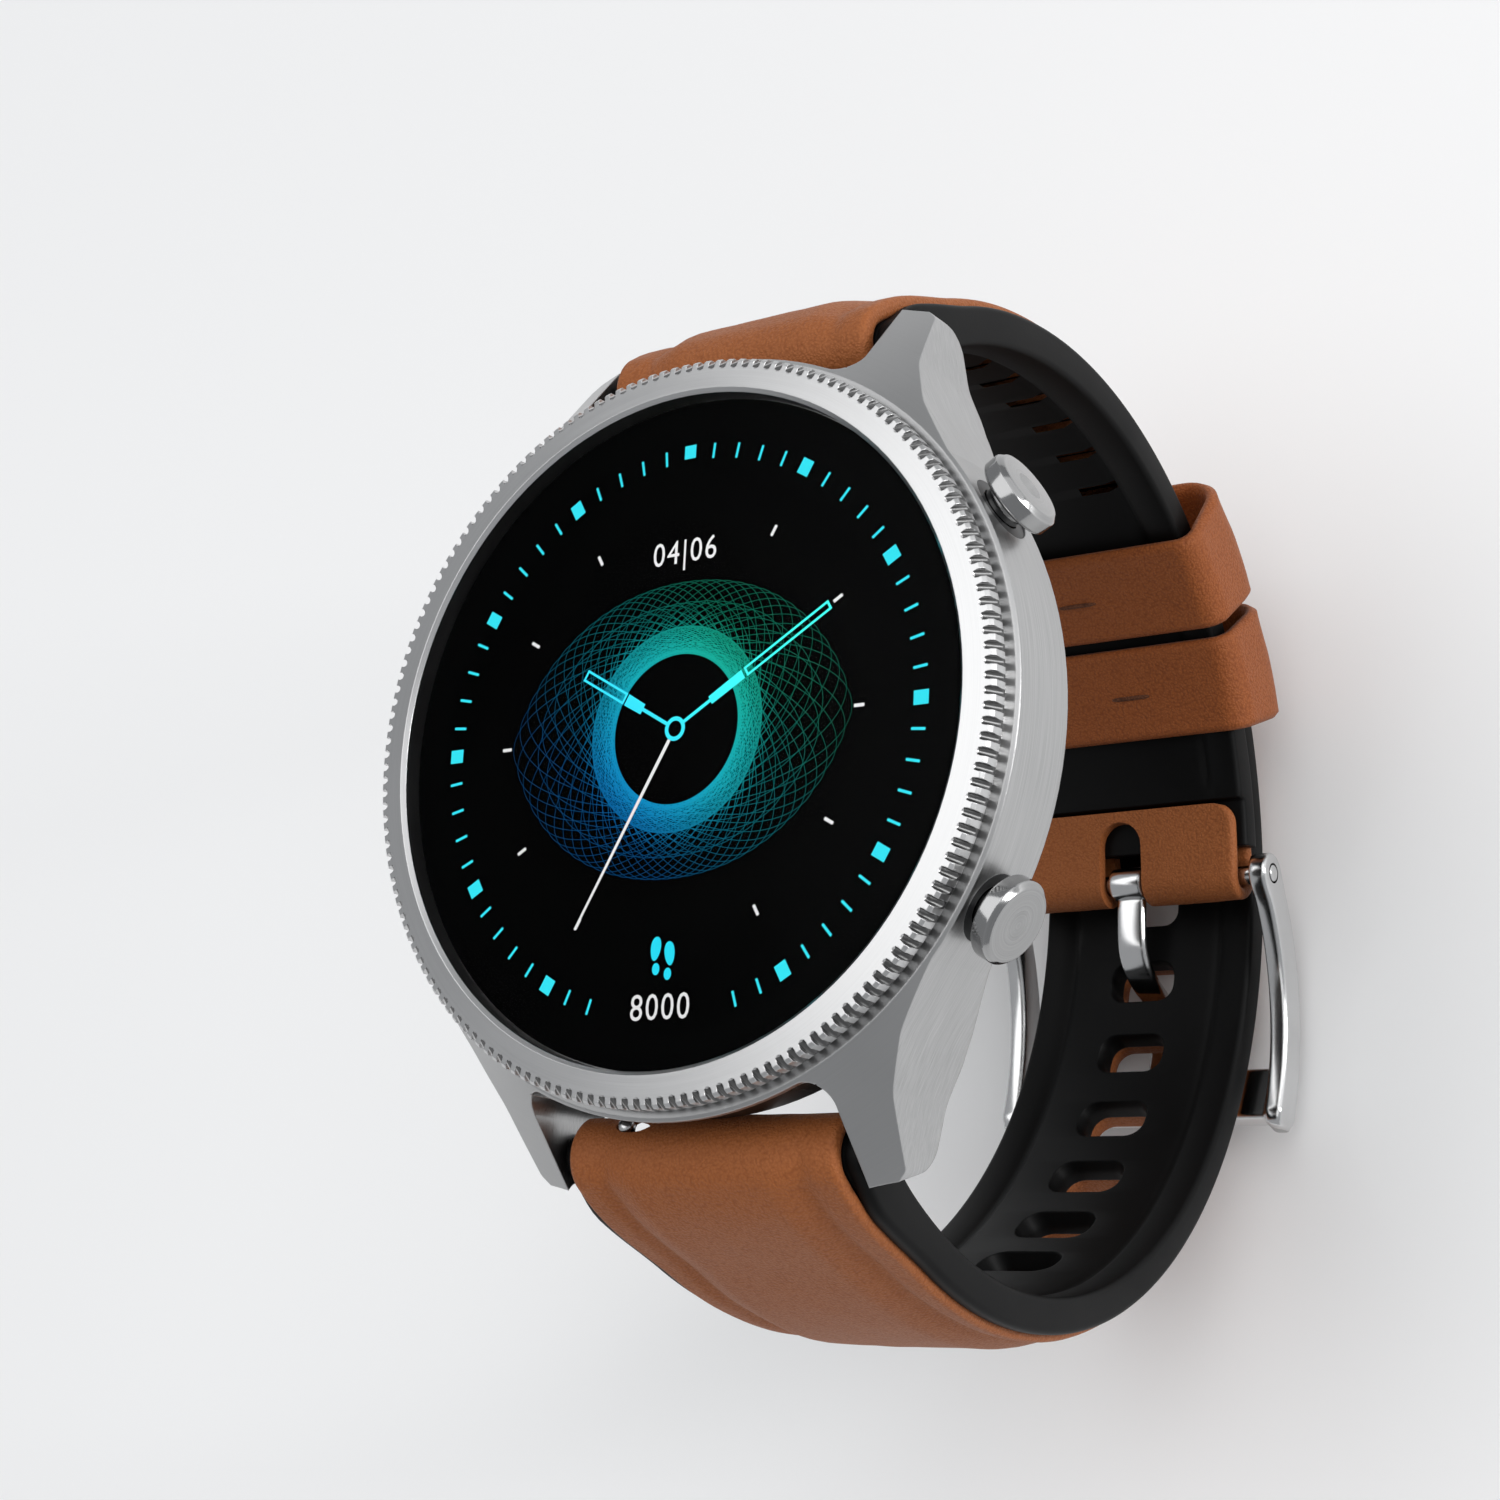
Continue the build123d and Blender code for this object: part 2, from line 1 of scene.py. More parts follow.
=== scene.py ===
from math import atan2, ceil, copysign, cos, degrees, exp, hypot, pi, radians, sin, sqrt

import bmesh
import bpy
from mathutils import Matrix, Vector, noise


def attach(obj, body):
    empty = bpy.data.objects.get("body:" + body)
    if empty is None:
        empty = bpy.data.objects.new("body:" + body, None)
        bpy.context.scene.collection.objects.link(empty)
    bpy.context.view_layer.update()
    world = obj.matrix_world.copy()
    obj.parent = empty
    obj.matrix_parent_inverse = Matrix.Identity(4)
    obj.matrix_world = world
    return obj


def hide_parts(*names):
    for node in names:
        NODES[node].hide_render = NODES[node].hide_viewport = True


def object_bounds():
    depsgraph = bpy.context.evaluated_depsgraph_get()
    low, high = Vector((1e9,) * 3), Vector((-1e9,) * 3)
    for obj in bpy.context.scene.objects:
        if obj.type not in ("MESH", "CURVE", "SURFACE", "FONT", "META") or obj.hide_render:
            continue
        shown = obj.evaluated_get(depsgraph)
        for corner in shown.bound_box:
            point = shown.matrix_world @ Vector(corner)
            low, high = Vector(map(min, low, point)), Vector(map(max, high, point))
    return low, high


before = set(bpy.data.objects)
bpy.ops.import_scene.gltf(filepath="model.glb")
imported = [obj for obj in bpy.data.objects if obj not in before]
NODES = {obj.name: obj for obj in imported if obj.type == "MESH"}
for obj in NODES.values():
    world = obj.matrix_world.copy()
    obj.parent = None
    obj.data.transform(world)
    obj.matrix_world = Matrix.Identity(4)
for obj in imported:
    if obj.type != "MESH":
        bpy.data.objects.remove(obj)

# The smartwatch's looks. Lengths are in millimetres in the code and turned into
# metres by MM, in the frame's own axes: +Z out of the dial, +Y to 12 o'clock.
CAD_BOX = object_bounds()
MM = 0.001

# ---- driving dimensions, as in the CAD ------------------------------------------
GLASS_TOP = 11.3
NOTCH_START_R = 22.07             # the bezel is notched outside this
DISPLAY_Z = GLASS_TOP - 1.16      # the picture lies just under the cover glass
BAR_Y, BAR_Z, BAR_R = 24.6, 3.3, 0.75
LOOP = (0.0, -15.7)
UPPER_IN_R = 29.5
LINING_T = 1.9
LEATHER_T = 1.2
TAIL_IN_R = 33.4
TAIL_LINING_T = 1.7
TAIL_LEATHER_T = 1.0
TAIL_START, TAIL_END = -5.0, 41.0
LOWER_SHIFT = 2.4
HEEL_R, HEEL_ANGLE = 30.85, 1.6
HOLE_FIRST, HOLE_PITCH = -10.8, 10.05
HOLE_SIZE = (4.9, 2.9)
HOLE_CORNER = 1.15
BUTTON_ANGLE = 30.0
BUTTON_Z = GLASS_TOP - 4.5
BUTTON_TOP_R = 25.3
BEZEL_TEETH = 164
BORDER_IN_R, BORDER_OUT_R = 18.3, 20.43
KEEPER_T = 0.9
KEEPER_HALF = 10.7
ARM_X = 10.95
BAR_MID_R = 37.1                  # the buckle's front bar, in the loop


def polar(centre, radius, angle):
    a = radians(angle)
    return centre[0] + radius * sin(a), centre[1] - radius * cos(a)


LOWER = polar(LOOP, LOWER_SHIFT, TAIL_START)
LOWER_IN_R = TAIL_IN_R - LOWER_SHIFT


# ---- node materials ----
class Shader:
    """A small helper for building one node material."""

    def __init__(self, name):
        self.mat = bpy.data.materials.new(name)
        self.mat.use_nodes = True
        self.tree = self.mat.node_tree
        self.bsdf = self.tree.nodes["Principled BSDF"]

    def node(self, kind, **settings):
        n = self.tree.nodes.new("ShaderNode" + kind)
        for key, value in settings.items():
            if key in n.inputs:
                n.inputs[key].default_value = value
            else:
                setattr(n, key, value)
        return n

    def link(self, a, out, b, inp):
        self.tree.links.new(a.outputs[out], b.inputs[inp])

    def drive(self, socket, source, out="Color"):
        """Lets a node's output set one of the surface's values."""
        self.link(source, out, self.bsdf, socket)

    def feed(self, target, *values):
        """Fills a node's inputs in order, each with a (node, output) pair or a constant."""
        for slot, value in enumerate(values):
            if isinstance(value, tuple) and isinstance(value[0], bpy.types.Node):
                self.link(*value, target, slot)
            elif value is not None:
                target.inputs[slot].default_value = value
        return target

    def set(self, **values):
        for key, value in values.items():
            self.bsdf.inputs[key.replace("_", " ")].default_value = value

    def coords(self, scale=(1, 1, 1)):
        mapping = self.node("Mapping", Scale=scale)
        self.link(self.node("TexCoord"), "Object", mapping, "Vector")
        return mapping

    def noise(self, where, scale, detail=3.0, rough=0.5):
        n = self.node("TexNoise", Scale=scale, Detail=detail, Roughness=rough)
        self.link(where, 0, n, "Vector")
        return n

    def ramp(self, source, out, stops):
        r = self.node("ValToRGB")
        while len(r.color_ramp.elements) < len(stops):
            r.color_ramp.elements.new(0.5)
        for element, (position, value) in zip(r.color_ramp.elements, stops):
            element.position = position
            element.color = value if len(value) == 4 else (*value, 1)
        self.link(source, out, r, "Fac")
        return r

    def shade(self, socket, source, out, stops):
        """A ramp of colours or values that sets one of the surface's values."""
        self.drive(socket, self.ramp(source, out, stops))

    def math(self, operation, a, b=None, clamp=False):
        m = self.node("Math", operation=operation)
        m.use_clamp = clamp
        return self.feed(m, a, b)

    def mix(self, a, share_a, b, share_b):
        """Two values added in given shares."""
        parts = self.math("MULTIPLY", a, share_a), self.math("MULTIPLY", b, share_b)
        return self.math("ADD", (parts[0], 0), (parts[1], 0))

    def vector(self, operation, *values):
        return self.feed(self.node("VectorMath", operation=operation), *values)

    def axis_radius(self, place):
        """The object's coordinates split up, and each point's distance from the dial's axis."""
        split = self.feed(self.node("SeparateXYZ"), (place, "Object"))
        flat = self.feed(self.node("CombineXYZ"), (split, 0), (split, 1))
        return split, self.vector("LENGTH", (flat, 0))

    def rounded(self, radius):
        """A soft highlight along crisp edges."""
        return self.node("Bevel", samples=6, Radius=radius)

    def bump(self, height, out, strength, distance, normal=None):
        b = self.node("Bump", Strength=strength, Distance=distance)
        self.link(height, out, b, "Height")
        if normal is not None:
            self.link(normal, "Normal", b, "Normal")
        self.drive("Normal", b, "Normal")


def grey(value):
    return (value, value, value)


def painted_notch_shade(s, angle, radius, teeth):
    """Painted shade at the bottom of a coin edge's notches, darkening them where their shadow falls: 1 on
    the ribs, low between them.
    """
    wave = s.math("COSINE", (s.math("MULTIPLY", (angle, 0), float(teeth)), 0))
    between = s.ramp(wave, 0, [(0.0, grey(1.0)), (0.12, grey(0.0))])
    outside = s.math("GREATER_THAN", (radius, "Value"), NOTCH_START_R * MM)
    # depth: how much painted shade each point between the ribs gets
    depth = s.math("MULTIPLY", (between, "Color"), (outside, 0))
    return s.math("SUBTRACT", 1.0, (s.math("MULTIPLY", (depth, 0), 0.8), 0))


def round_brushed(name, tone, streak, rough=(0.24, 0.4), edge=0.00012, along_z=True, front_streak=0.12,
                  teeth=0):
    """Metal brushed round the case's axis: fine streaks that follow the circumference. With teeth set,
    painted shade darkens the notches.
    """
    s = Shader(name)
    split, radius = s.axis_radius(s.node("TexCoord"))
    angle = s.math("ARCTAN2", (split, 1), (split, 0))
    turn = s.math("MULTIPLY", (angle, 0), 3.0)
    level = s.math("MULTIPLY", (split, 2), 17000.0 if along_z else 1200.0)
    reach = s.math("MULTIPLY", (radius, "Value"), 1200.0 if along_z else 15000.0)
    lines = s.feed(s.node("CombineXYZ"), (turn, 0), (level, 0), (reach, 0))
    fine = s.noise(lines, 1.0, 4.0, 0.6)
    cloud = s.noise(s.coords(), 90.0, 2.0)
    facing = s.feed(s.node("SeparateXYZ"), (s.node("NewGeometry"), "Normal"))
    wall = s.ramp(s.math("ABSOLUTE", (facing, 2)), 0, [(0.25, grey(1.0)), (0.5, grey(front_streak))])
    streaks = s.math("MULTIPLY", (s.math("SUBTRACT", (fine, "Fac"), 0.5), 0), (wall, "Color"))
    middle = s.math("ADD", (streaks, 0), 0.5)
    mixed = s.math("ADD", (middle, 0), (s.math("MULTIPLY", (cloud, "Fac"), 0.25), 0))
    tones = s.ramp(mixed, 0, [(0.35, grey(tone * (1 - streak))), (0.85, grey(min(1, tone * (1 + streak))))])
    shaded = s.vector("SCALE", (tones, "Color"))
    shaded.inputs["Scale"].default_value = 1.0
    # painted shade: the base colour is darkened between the notch ribs, in place of the notches' shadow
    if teeth:
        s.link(painted_notch_shade(s, angle, radius, teeth), 0, shaded, "Scale")
    s.drive("Base Color", shaded, 0)
    s.shade("Roughness", mixed, 0, [(0.3, grey(rough[0])), (0.85, grey(rough[1]))])
    s.bump(mixed, 0, 0.10, 0.00004, s.rounded(edge))
    s.set(Metallic=1.0, Anisotropic=0.45)
    tangent = s.node("Tangent", direction_type="RADIAL", axis="Z")
    s.drive("Tangent", tangent, "Tangent")
    return s.mat


def satin_metal(name, tone, rough=0.3, edge=0.0001, grain=2600.0, strength=0.06):
    """Bead-blasted or polished metal with faint unevenness."""
    s = Shader(name)
    spots = s.noise(s.coords(), grain, 2.0)
    cloud = s.noise(s.coords(), 160.0, 3.0)
    s.shade("Base Color", cloud, "Fac", [(0.3, grey(tone * 0.94)), (0.7, grey(min(1.0, tone * 1.05)))])
    s.shade("Roughness", cloud, "Fac", [(0.3, grey(rough * 0.85)), (0.75, grey(rough * 1.15))])
    s.bump(spots, "Fac", strength, 0.00003, s.rounded(edge))
    s.set(Metallic=1.0)
    return s.mat


def spun_metal(name, centre, axis, tone):
    """A button's face, turned in fine rings about its own axis."""
    s = Shader(name)
    shift = s.vector("SUBTRACT", (s.node("TexCoord"), "Object"), centre)
    along = s.vector("DOT_PRODUCT", (shift, 0), axis)
    lift = s.vector("SCALE", axis)
    s.link(along, "Value", lift, "Scale")
    flat = s.vector("SUBTRACT", (shift, 0), (lift, 0))
    radius = s.vector("LENGTH", (flat, 0))
    rings = s.feed(s.node("CombineXYZ"), (s.math("MULTIPLY", (radius, "Value"), 9000.0), 0))
    fine = s.noise(rings, 1.0, 3.0, 0.6)
    face = s.math("GREATER_THAN", (along, "Value"), (BUTTON_TOP_R - 0.004) * MM)
    tangent = s.vector("CROSS_PRODUCT", (flat, 0), axis)
    unit = s.vector("NORMALIZE", (tangent, 0))
    s.drive("Tangent", unit, 0)
    s.shade("Base Color", fine, "Fac", [(0.3, grey(tone * 0.72)), (0.75, grey(tone))])
    dull = s.math("MULTIPLY", (face, 0), 0.24)
    s.link(s.math("ADD", (dull, 0), 0.11), 0, s.bsdf, "Roughness")
    s.bump(fine, "Fac", 0.12, 0.00003, s.rounded(0.0001))
    s.set(Metallic=1.0, Anisotropic=0.6)
    return s.mat


def leather(name, dark, light, grain=4200.0, wrinkle=0.35):
    """Full-grain leather: pebbles in a net of creases, with worn, lighter high spots."""
    s = Shader(name)
    here = s.coords()
    wobble = s.noise(here, 900.0, 2.0)
    warp = s.vector("MULTIPLY_ADD", (wobble, "Color"), (0.00045, 0.00045, 0.00045), (here, 0))
    pebble = s.node("TexVoronoi", feature="SMOOTH_F1", Scale=grain, Smoothness=0.55)
    s.link(warp, 0, pebble, "Vector")
    fine = s.noise(here, grain * 2.4, 3.0, 0.6)
    folds = s.noise(s.coords(scale=(1, 0.45, 0.45)), 420.0, 4.0, 0.62)
    patch = s.noise(here, 70.0, 3.0)
    net = s.math("SUBTRACT", 1.0, (pebble, "Distance"))
    grainy = s.mix((net, 0), 0.62, (fine, "Fac"), 0.3)
    height = s.math("ADD", (grainy, 0), (s.math("MULTIPLY", (folds, "Fac"), wrinkle), 0))
    blend = s.mix((grainy, 0), 0.8, (patch, "Fac"), 0.16)
    middle = tuple(0.35 * a + 0.65 * b for a, b in zip(dark, light))
    s.shade("Base Color", blend, 0, [(0.30, dark), (0.55, middle), (0.85, light)])
    s.shade("Roughness", grainy, 0, [(0.3, grey(0.66)), (0.9, grey(0.47))])
    s.bump(height, 0, 0.8, 0.00011)
    s.set(Sheen_Weight=0.03)
    s.set(Specular_IOR_Level=0.28)
    return s.mat


def rubber(name, tone=0.012, rough=0.5):
    """Moulded silicone: nearly black, with a very fine satin texture."""
    s = Shader(name)
    here = s.coords()
    dust = s.noise(here, 5200.0, 2.0)
    cloud = s.noise(here, 120.0, 3.0)
    pale = (tone * 1.25, tone * 1.25, tone * 1.32)
    s.shade("Base Color", cloud, "Fac", [(0.3, grey(tone * 0.8)), (0.75, pale)])
    s.shade("Roughness", cloud, "Fac", [(0.3, grey(rough * 0.9)), (0.75, grey(rough * 1.1))])
    s.bump(dust, "Fac", 0.12, 0.00003, s.rounded(0.0002))
    s.set(Specular_IOR_Level=0.12)
    return s.mat


def moulded(name, colour, rough=0.35, grain=3000.0, metallic=0.0):
    """Moulded plastic, a coated board or foil: a tone that drifts, over a fine grain."""
    s = Shader(name)
    here = s.coords()
    dust = s.noise(here, grain, 2.0)
    cloud = s.noise(here, 140.0, 3.0)
    low = tuple(c * 0.82 for c in colour)
    high = tuple(min(1.0, c * 1.15) for c in colour)
    s.shade("Base Color", cloud, "Fac", [(0.3, low), (0.75, high)])
    s.shade("Roughness", cloud, "Fac", [(0.3, grey(rough * 0.85)), (0.75, grey(rough * 1.15))])
    s.bump(dust, "Fac", 0.08, 0.00003, s.rounded(0.00012))
    s.set(Metallic=metallic)
    return s.mat


def cover_glass():
    """Hardened, coated glass: nearly clear, with a faint reflection."""
    s = Shader("watch_glass")
    smear = s.noise(s.coords(), 60.0, 4.0)
    s.shade("Roughness", smear, "Fac", [(0.35, grey(0.14)), (0.8, grey(0.18))])
    s.set(Base_Color=(0, 0, 0, 1), Alpha=0.05, IOR=1.45)
    return s.mat


def dial_black():
    """The unlit display: deep black with a barely visible pixel grid."""
    s = Shader("dial_black")
    grid = s.node("TexBrick", Scale=6000.0)
    s.link(s.coords(), 0, grid, "Vector")
    s.shade("Base Color", grid, "Fac", [(0.0, grey(0.0006)), (1.0, grey(0.0012))])
    s.set(Roughness=0.35, Specular_IOR_Level=0.0)
    return s.mat


def glow(name, start, end, strength=1.0):
    """Lit pixels whose colour drifts across the dial from one corner to the other."""
    s = Shader(name)
    diagonal = (0.7 / 0.026, 0.7 / 0.026, 0)
    along = s.vector("DOT_PRODUCT", (s.node("TexCoord"), "Object"), diagonal)
    half = s.math("ADD", (along, "Value"), 0.5, clamp=True)
    s.shade("Emission Color", half, 0, [(0.15, start), (0.85, end)])
    s.set(Emission_Strength=strength, Base_Color=(0, 0, 0, 1), Specular_IOR_Level=0.0, Roughness=0.6)
    return s.mat


# ---- mesh helpers ----
def place_object(name, data):
    obj = bpy.data.objects.new(name, data)
    bpy.context.scene.collection.objects.link(obj)
    return obj


def new_object(name, verts, faces, mat, smooth=True):
    mesh = bpy.data.meshes.new(name)
    mesh.from_pydata([Vector(v) * MM for v in verts], [], faces)
    mesh.update()
    mesh.polygons.foreach_set("use_smooth", [smooth] * len(mesh.polygons))
    mesh.materials.append(mat)
    return place_object(name, mesh)


def loft(name, rings, mat, closed=False, caps=True):
    """A skin over equal rings of points, with flat ends or joined end to end."""
    n = len(rings[0])
    verts = [p for ring in rings for p in ring]
    faces = []
    count = len(rings)
    for i in range(count if closed else count - 1):
        a, b = i * n, ((i + 1) % count) * n
        for j in range(n):
            k = (j + 1) % n
            faces.append((a + j, a + k, b + k, b + j))
    if caps and not closed:
        faces.append(tuple(range(n - 1, -1, -1)))
        faces.append(tuple((count - 1) * n + j for j in range(n)))
    obj = new_object(name, verts, faces, mat)
    tidy_normals(obj)
    return obj


def tidy_normals(obj):
    bm = bmesh.new()
    bm.from_mesh(obj.data)
    bmesh.ops.recalc_face_normals(bm, faces=bm.faces)
    bm.to_mesh(obj.data)
    bm.free()


def apply_modifiers(obj):
    bpy.context.view_layer.update()
    ready = obj.evaluated_get(bpy.context.evaluated_depsgraph_get())
    mesh = bpy.data.meshes.new_from_object(ready)
    obj.modifiers.clear()
    obj.data = mesh


def auto_smooth(obj, limit=35):
    """Smooth shading that keeps edges sharper than this angle."""
    obj.data.polygons.foreach_set("use_smooth", [True] * len(obj.data.polygons))
    obj.data.set_sharp_from_angle(angle=radians(limit))


def finish_piece(obj, body, nodes):
    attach(obj, body)
    if nodes:
        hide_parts(*nodes)
    return obj


# ---- strap ----
# A strap piece is a row of stations. Each has a place (y, z), an outward normal and
# the distance s from the lug end, and a section of (x, h) points is drawn at each one.
BOSS_R = 1.62
HEEL = polar(LOOP, HEEL_R, HEEL_ANGLE)


def angle_from(centre, point):
    return degrees(atan2(point[0] - centre[0], centre[1] - point[1]))


def smoothstep(a, b, x):
    t = min(1.0, max(0.0, (x - a) / (b - a)))
    return t * t * (3 - 2 * t)


def spread(a0, a1, step):
    count = max(2, ceil(abs(a1 - a0) / step))
    return [a0 + (a1 - a0) * i / count for i in range(count + 1)]


def stations_along(path):
    """Normals and running length for a path of (y, z) points, outwards to its right."""
    found = []
    s = 0.0
    for i, (y, z) in enumerate(path):
        before = path[max(0, i - 1)]
        after = path[min(len(path) - 1, i + 1)]
        dy, dz = after[0] - before[0], after[1] - before[1]
        size = hypot(dy, dz)
        if i:
            s += hypot(y - before[0], z - before[1])
        found.append(((y, z), (dz / size, -dy / size), s))
    return found


def ring_at(station, points, flip=1):
    """Section points (x, h), h along the outward normal, set in place."""
    (y, z), (ny, nz), _ = station
    return [(x, y + flip * ny * h, z + flip * nz * h) for x, h in points]


def half_width(z, at_bar, at_buckle):
    """Half a strap's width at a height: it narrows evenly to the buckle."""
    return at_bar - (at_bar - at_buckle) * (BAR_Z - z) / 50.0


class Half:
    """One half of the strap: its arc, thickness and widths."""

    def __init__(self, centre, in_r, sense, floor, thick_near, buckle_half, leather_half):
        self.centre, self.in_r, self.sense = centre, in_r, sense
        self.bar = (sense * BAR_Y, BAR_Z)
        self.end = angle_from(centre, self.bar)
        self.bar_h = hypot(self.bar[0] - centre[0], self.bar[1] - centre[1]) - in_r
        self.floor_t, self.thick_near = floor, thick_near
        self.buckle_half, self.leather_half = buckle_half, leather_half

    def floor(self, angle):
        """The rubber's thickness under the leather: it swells to hold the spring bar."""
        near = smoothstep(abs(self.end) - 95, abs(self.end) - 12, abs(angle))
        at_bar = smoothstep(abs(self.end) - 17, abs(self.end), abs(angle))
        t = self.floor_t + (self.thick_near - self.floor_t) * near
        return t + (self.bar_h + BOSS_R - t) * at_bar

    def low(self, angle):
        at_bar = smoothstep(abs(self.end) - 9, abs(self.end), abs(angle))
        return (self.bar_h - BOSS_R) * at_bar

    def rubber_half(self, z):
        return half_width(z, 10.8, self.buckle_half)

    def skin_half(self, z):
        return half_width(z, 9.7, self.leather_half)


UPPER = Half(LOOP, UPPER_IN_R, 1, LINING_T, 2.1, 9.9, 9.35)
LOWER_HALF = Half(LOWER, LOWER_IN_R, -1, TAIL_LINING_T, 1.95, 8.8, 7.8)


def crumple(p, size, amount):
    return amount * noise.noise(Vector(p) / size)


def pad_height(x, half, s):
    """The leather's padding: a crowned middle, inside a crease that runs out to the edge."""
    border = 2.5 * max(0.0, 1 - (max(0.0, s - 3.0) / 41.0) ** 1.6)
    line = half - border
    fade = 1 - smoothstep(22, 46, s)
    start = smoothstep(0.0, 5.0, s)
    inside = smoothstep(line - 0.2, line - 2.4, abs(x))
    crease = exp(-((abs(x) - line) / 0.5) ** 2)
    return start * (0.5 * inside * (1 - 0.55 * smoothstep(20, 60, s)) - 0.34 * crease * fade)


def skin_section(half, thickness, station, padding):
    """The leather's section: flat below, round edges, padded and slightly uneven above."""
    r = min(0.45, thickness * 0.45)
    points = []
    (y, z), _, s = station
    columns = 64
    for i in range(6):
        a = radians(-90 + 18 * i)
        points.append((half - r + r * cos(a), r + r * sin(a)))
    for i in range(columns + 1):
        x = half * (1 - 2 * i / columns)
        x = copysign(half * (1 - (1 - abs(x) / half) ** 1.35), x)
        edge = max(0.0, half - abs(x))
        rim = r - sqrt(max(0.0, r * r - max(0.0, r - edge) ** 2))
        lift = padding(x, half, s) + crumple((x, y, z), 5.5, 0.09) + crumple((x, y, z), 1.8, 0.035)
        points.append((x, thickness - rim + lift * smoothstep(0, 0.9, edge)))
    for i in range(6):
        a = radians(180 + 18 * i)
        points.append((-half + r + r * cos(a), r + r * sin(a)))
    return points


def rubber_section(half, inner, low, floor, rim, groove_x, groove):
    """The rubber's section: a tray for the leather outside, a bordered face inside."""
    r = min(0.4, (rim - low) * 0.4)
    points = []

    def arc(cx, cy, start, sweep, radius, count):
        for i in range(count + 1):
            a = radians(start + sweep * i / count)
            points.append((cx + radius * cos(a), cy + radius * sin(a)))

    arc(half - r, low + r, -90, 90, r, 4)
    arc(half - r, rim - r, 0, 90, r, 4)
    lip = 0.15
    arc(inner + lip, rim - lip, 90, 90, lip, 3)
    for i in range(9):
        points.append((inner * (1 - 2 * i / 8), floor))
    arc(-inner - lip, rim - lip, 0, 90, lip, 3)
    arc(-half + r, rim - r, 90, 90, r, 4)
    arc(-half + r, low + r, 180, 90, r, 4)
    for side in (-1, 1):
        for dx, depth in ((-0.7, 0), (-0.25, 0.7), (0, 1), (0.25, 0.7), (0.7, 0)):
            points.append((side * groove_x + dx, low + groove * depth))
        if side < 0:
            points.append((0, low))
    return points


def skin_path(half_strap, angles):
    """The leather's underside, from over the spring bar and along the strap."""
    e, sense = half_strap.end, half_strap.sense
    roll = [polar(half_strap.bar, BOSS_R + 0.02, e + sense * a) for a in spread(112, 6, 9)]
    run = [polar(half_strap.centre, half_strap.in_r + half_strap.floor(a), a) for a in angles]
    return roll + run


def along_normals(path, sense):
    """Stations whose normals point away from the wrist, whichever way the path runs."""
    return [(p, (sense * n[0], sense * n[1]), s) for p, n, s in stations_along(path)]


def upper_leather(mat):
    angles = spread(UPPER.end, 7, 1.6)
    outer = skin_path(UPPER, angles)
    outer += [polar(LOOP, 31.4 + 0.3 * smoothstep(6, 2, a), a) for a in spread(6, HEEL_ANGLE + 0.6, 0.9)]
    turn = [polar(HEEL, 0.86, HEEL_ANGLE - a) for a in spread(0, 180, 15)]
    inner = [polar(LOOP, 29.99, a) for a in spread(HEEL_ANGLE + 0.6, 11.8, 0.45)]
    stations = along_normals(outer + turn + inner, -1)
    total = stations[-1][2]
    rings = []
    for station in stations:
        (_, z), _, s = station
        left = total - s
        half = UPPER.skin_half(z)
        half -= 1.6 * (1 - sqrt(max(0.0, 1 - (1 - min(1.0, left / 1.6)) ** 2)))
        thickness = LEATHER_T - 0.3 * smoothstep(14, 11, left)
        flat = smoothstep(14, 24, left)
        rings.append(ring_at(station, skin_section(
            half, thickness, station, lambda x, w, d: pad_height(x, w, d) * flat)))
    obj = loft("upper_leather", rings, mat)
    return cut(obj, [rounded_notch(mat), knob_cutter(1, mat)])


def rounded_notch(mat):
    """Room for the tongue's barrel in the leather fold, with a round inner end."""
    rings = []
    for h in (-3.0, 3.0):
        ring = []
        for cy, start in ((2.6, 0), (-3.2, 180)):
            for i in range(13):
                a = radians(start + 15 * i)
                y, z = HEEL[0] + cy + 1.75 * sin(a) * (1 if start == 0 else 0.4), HEEL[1] + h
                ring.append((1.75 * cos(a), y, z))
        rings.append(ring)
    return loft("notch_cutter", rings, mat)


def tail_narrowing(angle, tip_radius):
    """How much each side of the tail draws in towards its round tip."""
    left = radians(TAIL_END - angle) * (TAIL_IN_R + 2)
    if left >= tip_radius:
        return 0.0
    return tip_radius * (1 - sqrt(max(0.0, 1 - (1 - left / tip_radius) ** 2)))


def lower_arc(h_at, step):
    """(angle, point) pairs from the spring bar to the tail's tip, at a height over its wrist side."""
    near = spread(LOWER_HALF.end, TAIL_START - 0.8, step)
    tail = spread(TAIL_START + 0.8, TAIL_END - 9, step) + spread(TAIL_END - 8.6, TAIL_END - 0.02, 0.4)
    points = [(a, polar(LOWER, LOWER_IN_R + h_at(a), a)) for a in near]
    return points + [(a, polar(LOOP, TAIL_IN_R + h_at(a), a)) for a in tail]


def lower_leather(mat):
    run = lower_arc(LOWER_HALF.floor, 1.6)
    roll = [polar(LOWER_HALF.bar, BOSS_R + 0.02, LOWER_HALF.end - a) for a in spread(112, 6, 9)]
    stations = along_normals(roll + [p for _, p in run], 1)
    angles = [LOWER_HALF.end] * len(roll) + [a for a, _ in run]
    rings = []
    for station, angle in zip(stations, angles):
        half = LOWER_HALF.skin_half(station[0][1]) - tail_narrowing(angle, 8.2)
        half = max(half, 0.5)
        rings.append(ring_at(station, skin_section(half, TAIL_LEATHER_T, station, pad_height)))
    obj = loft("lower_leather", rings, mat)
    return cut(obj, hole_cutters(mat) + [knob_cutter(-1, mat)])


def end_round(half_strap, count=9):
    """How the rubber rounds off beyond the spring bar: (angle, low, high) steps."""
    found = []
    for i in range(1, count + 1):
        u = BOSS_R * sin(radians(88 * i / count))
        q = sqrt(BOSS_R ** 2 - u ** 2)
        turn = degrees(u / (half_strap.in_r + half_strap.bar_h))
        found.append((half_strap.end + half_strap.sense * turn, half_strap.bar_h - q, half_strap.bar_h + q))
    return found


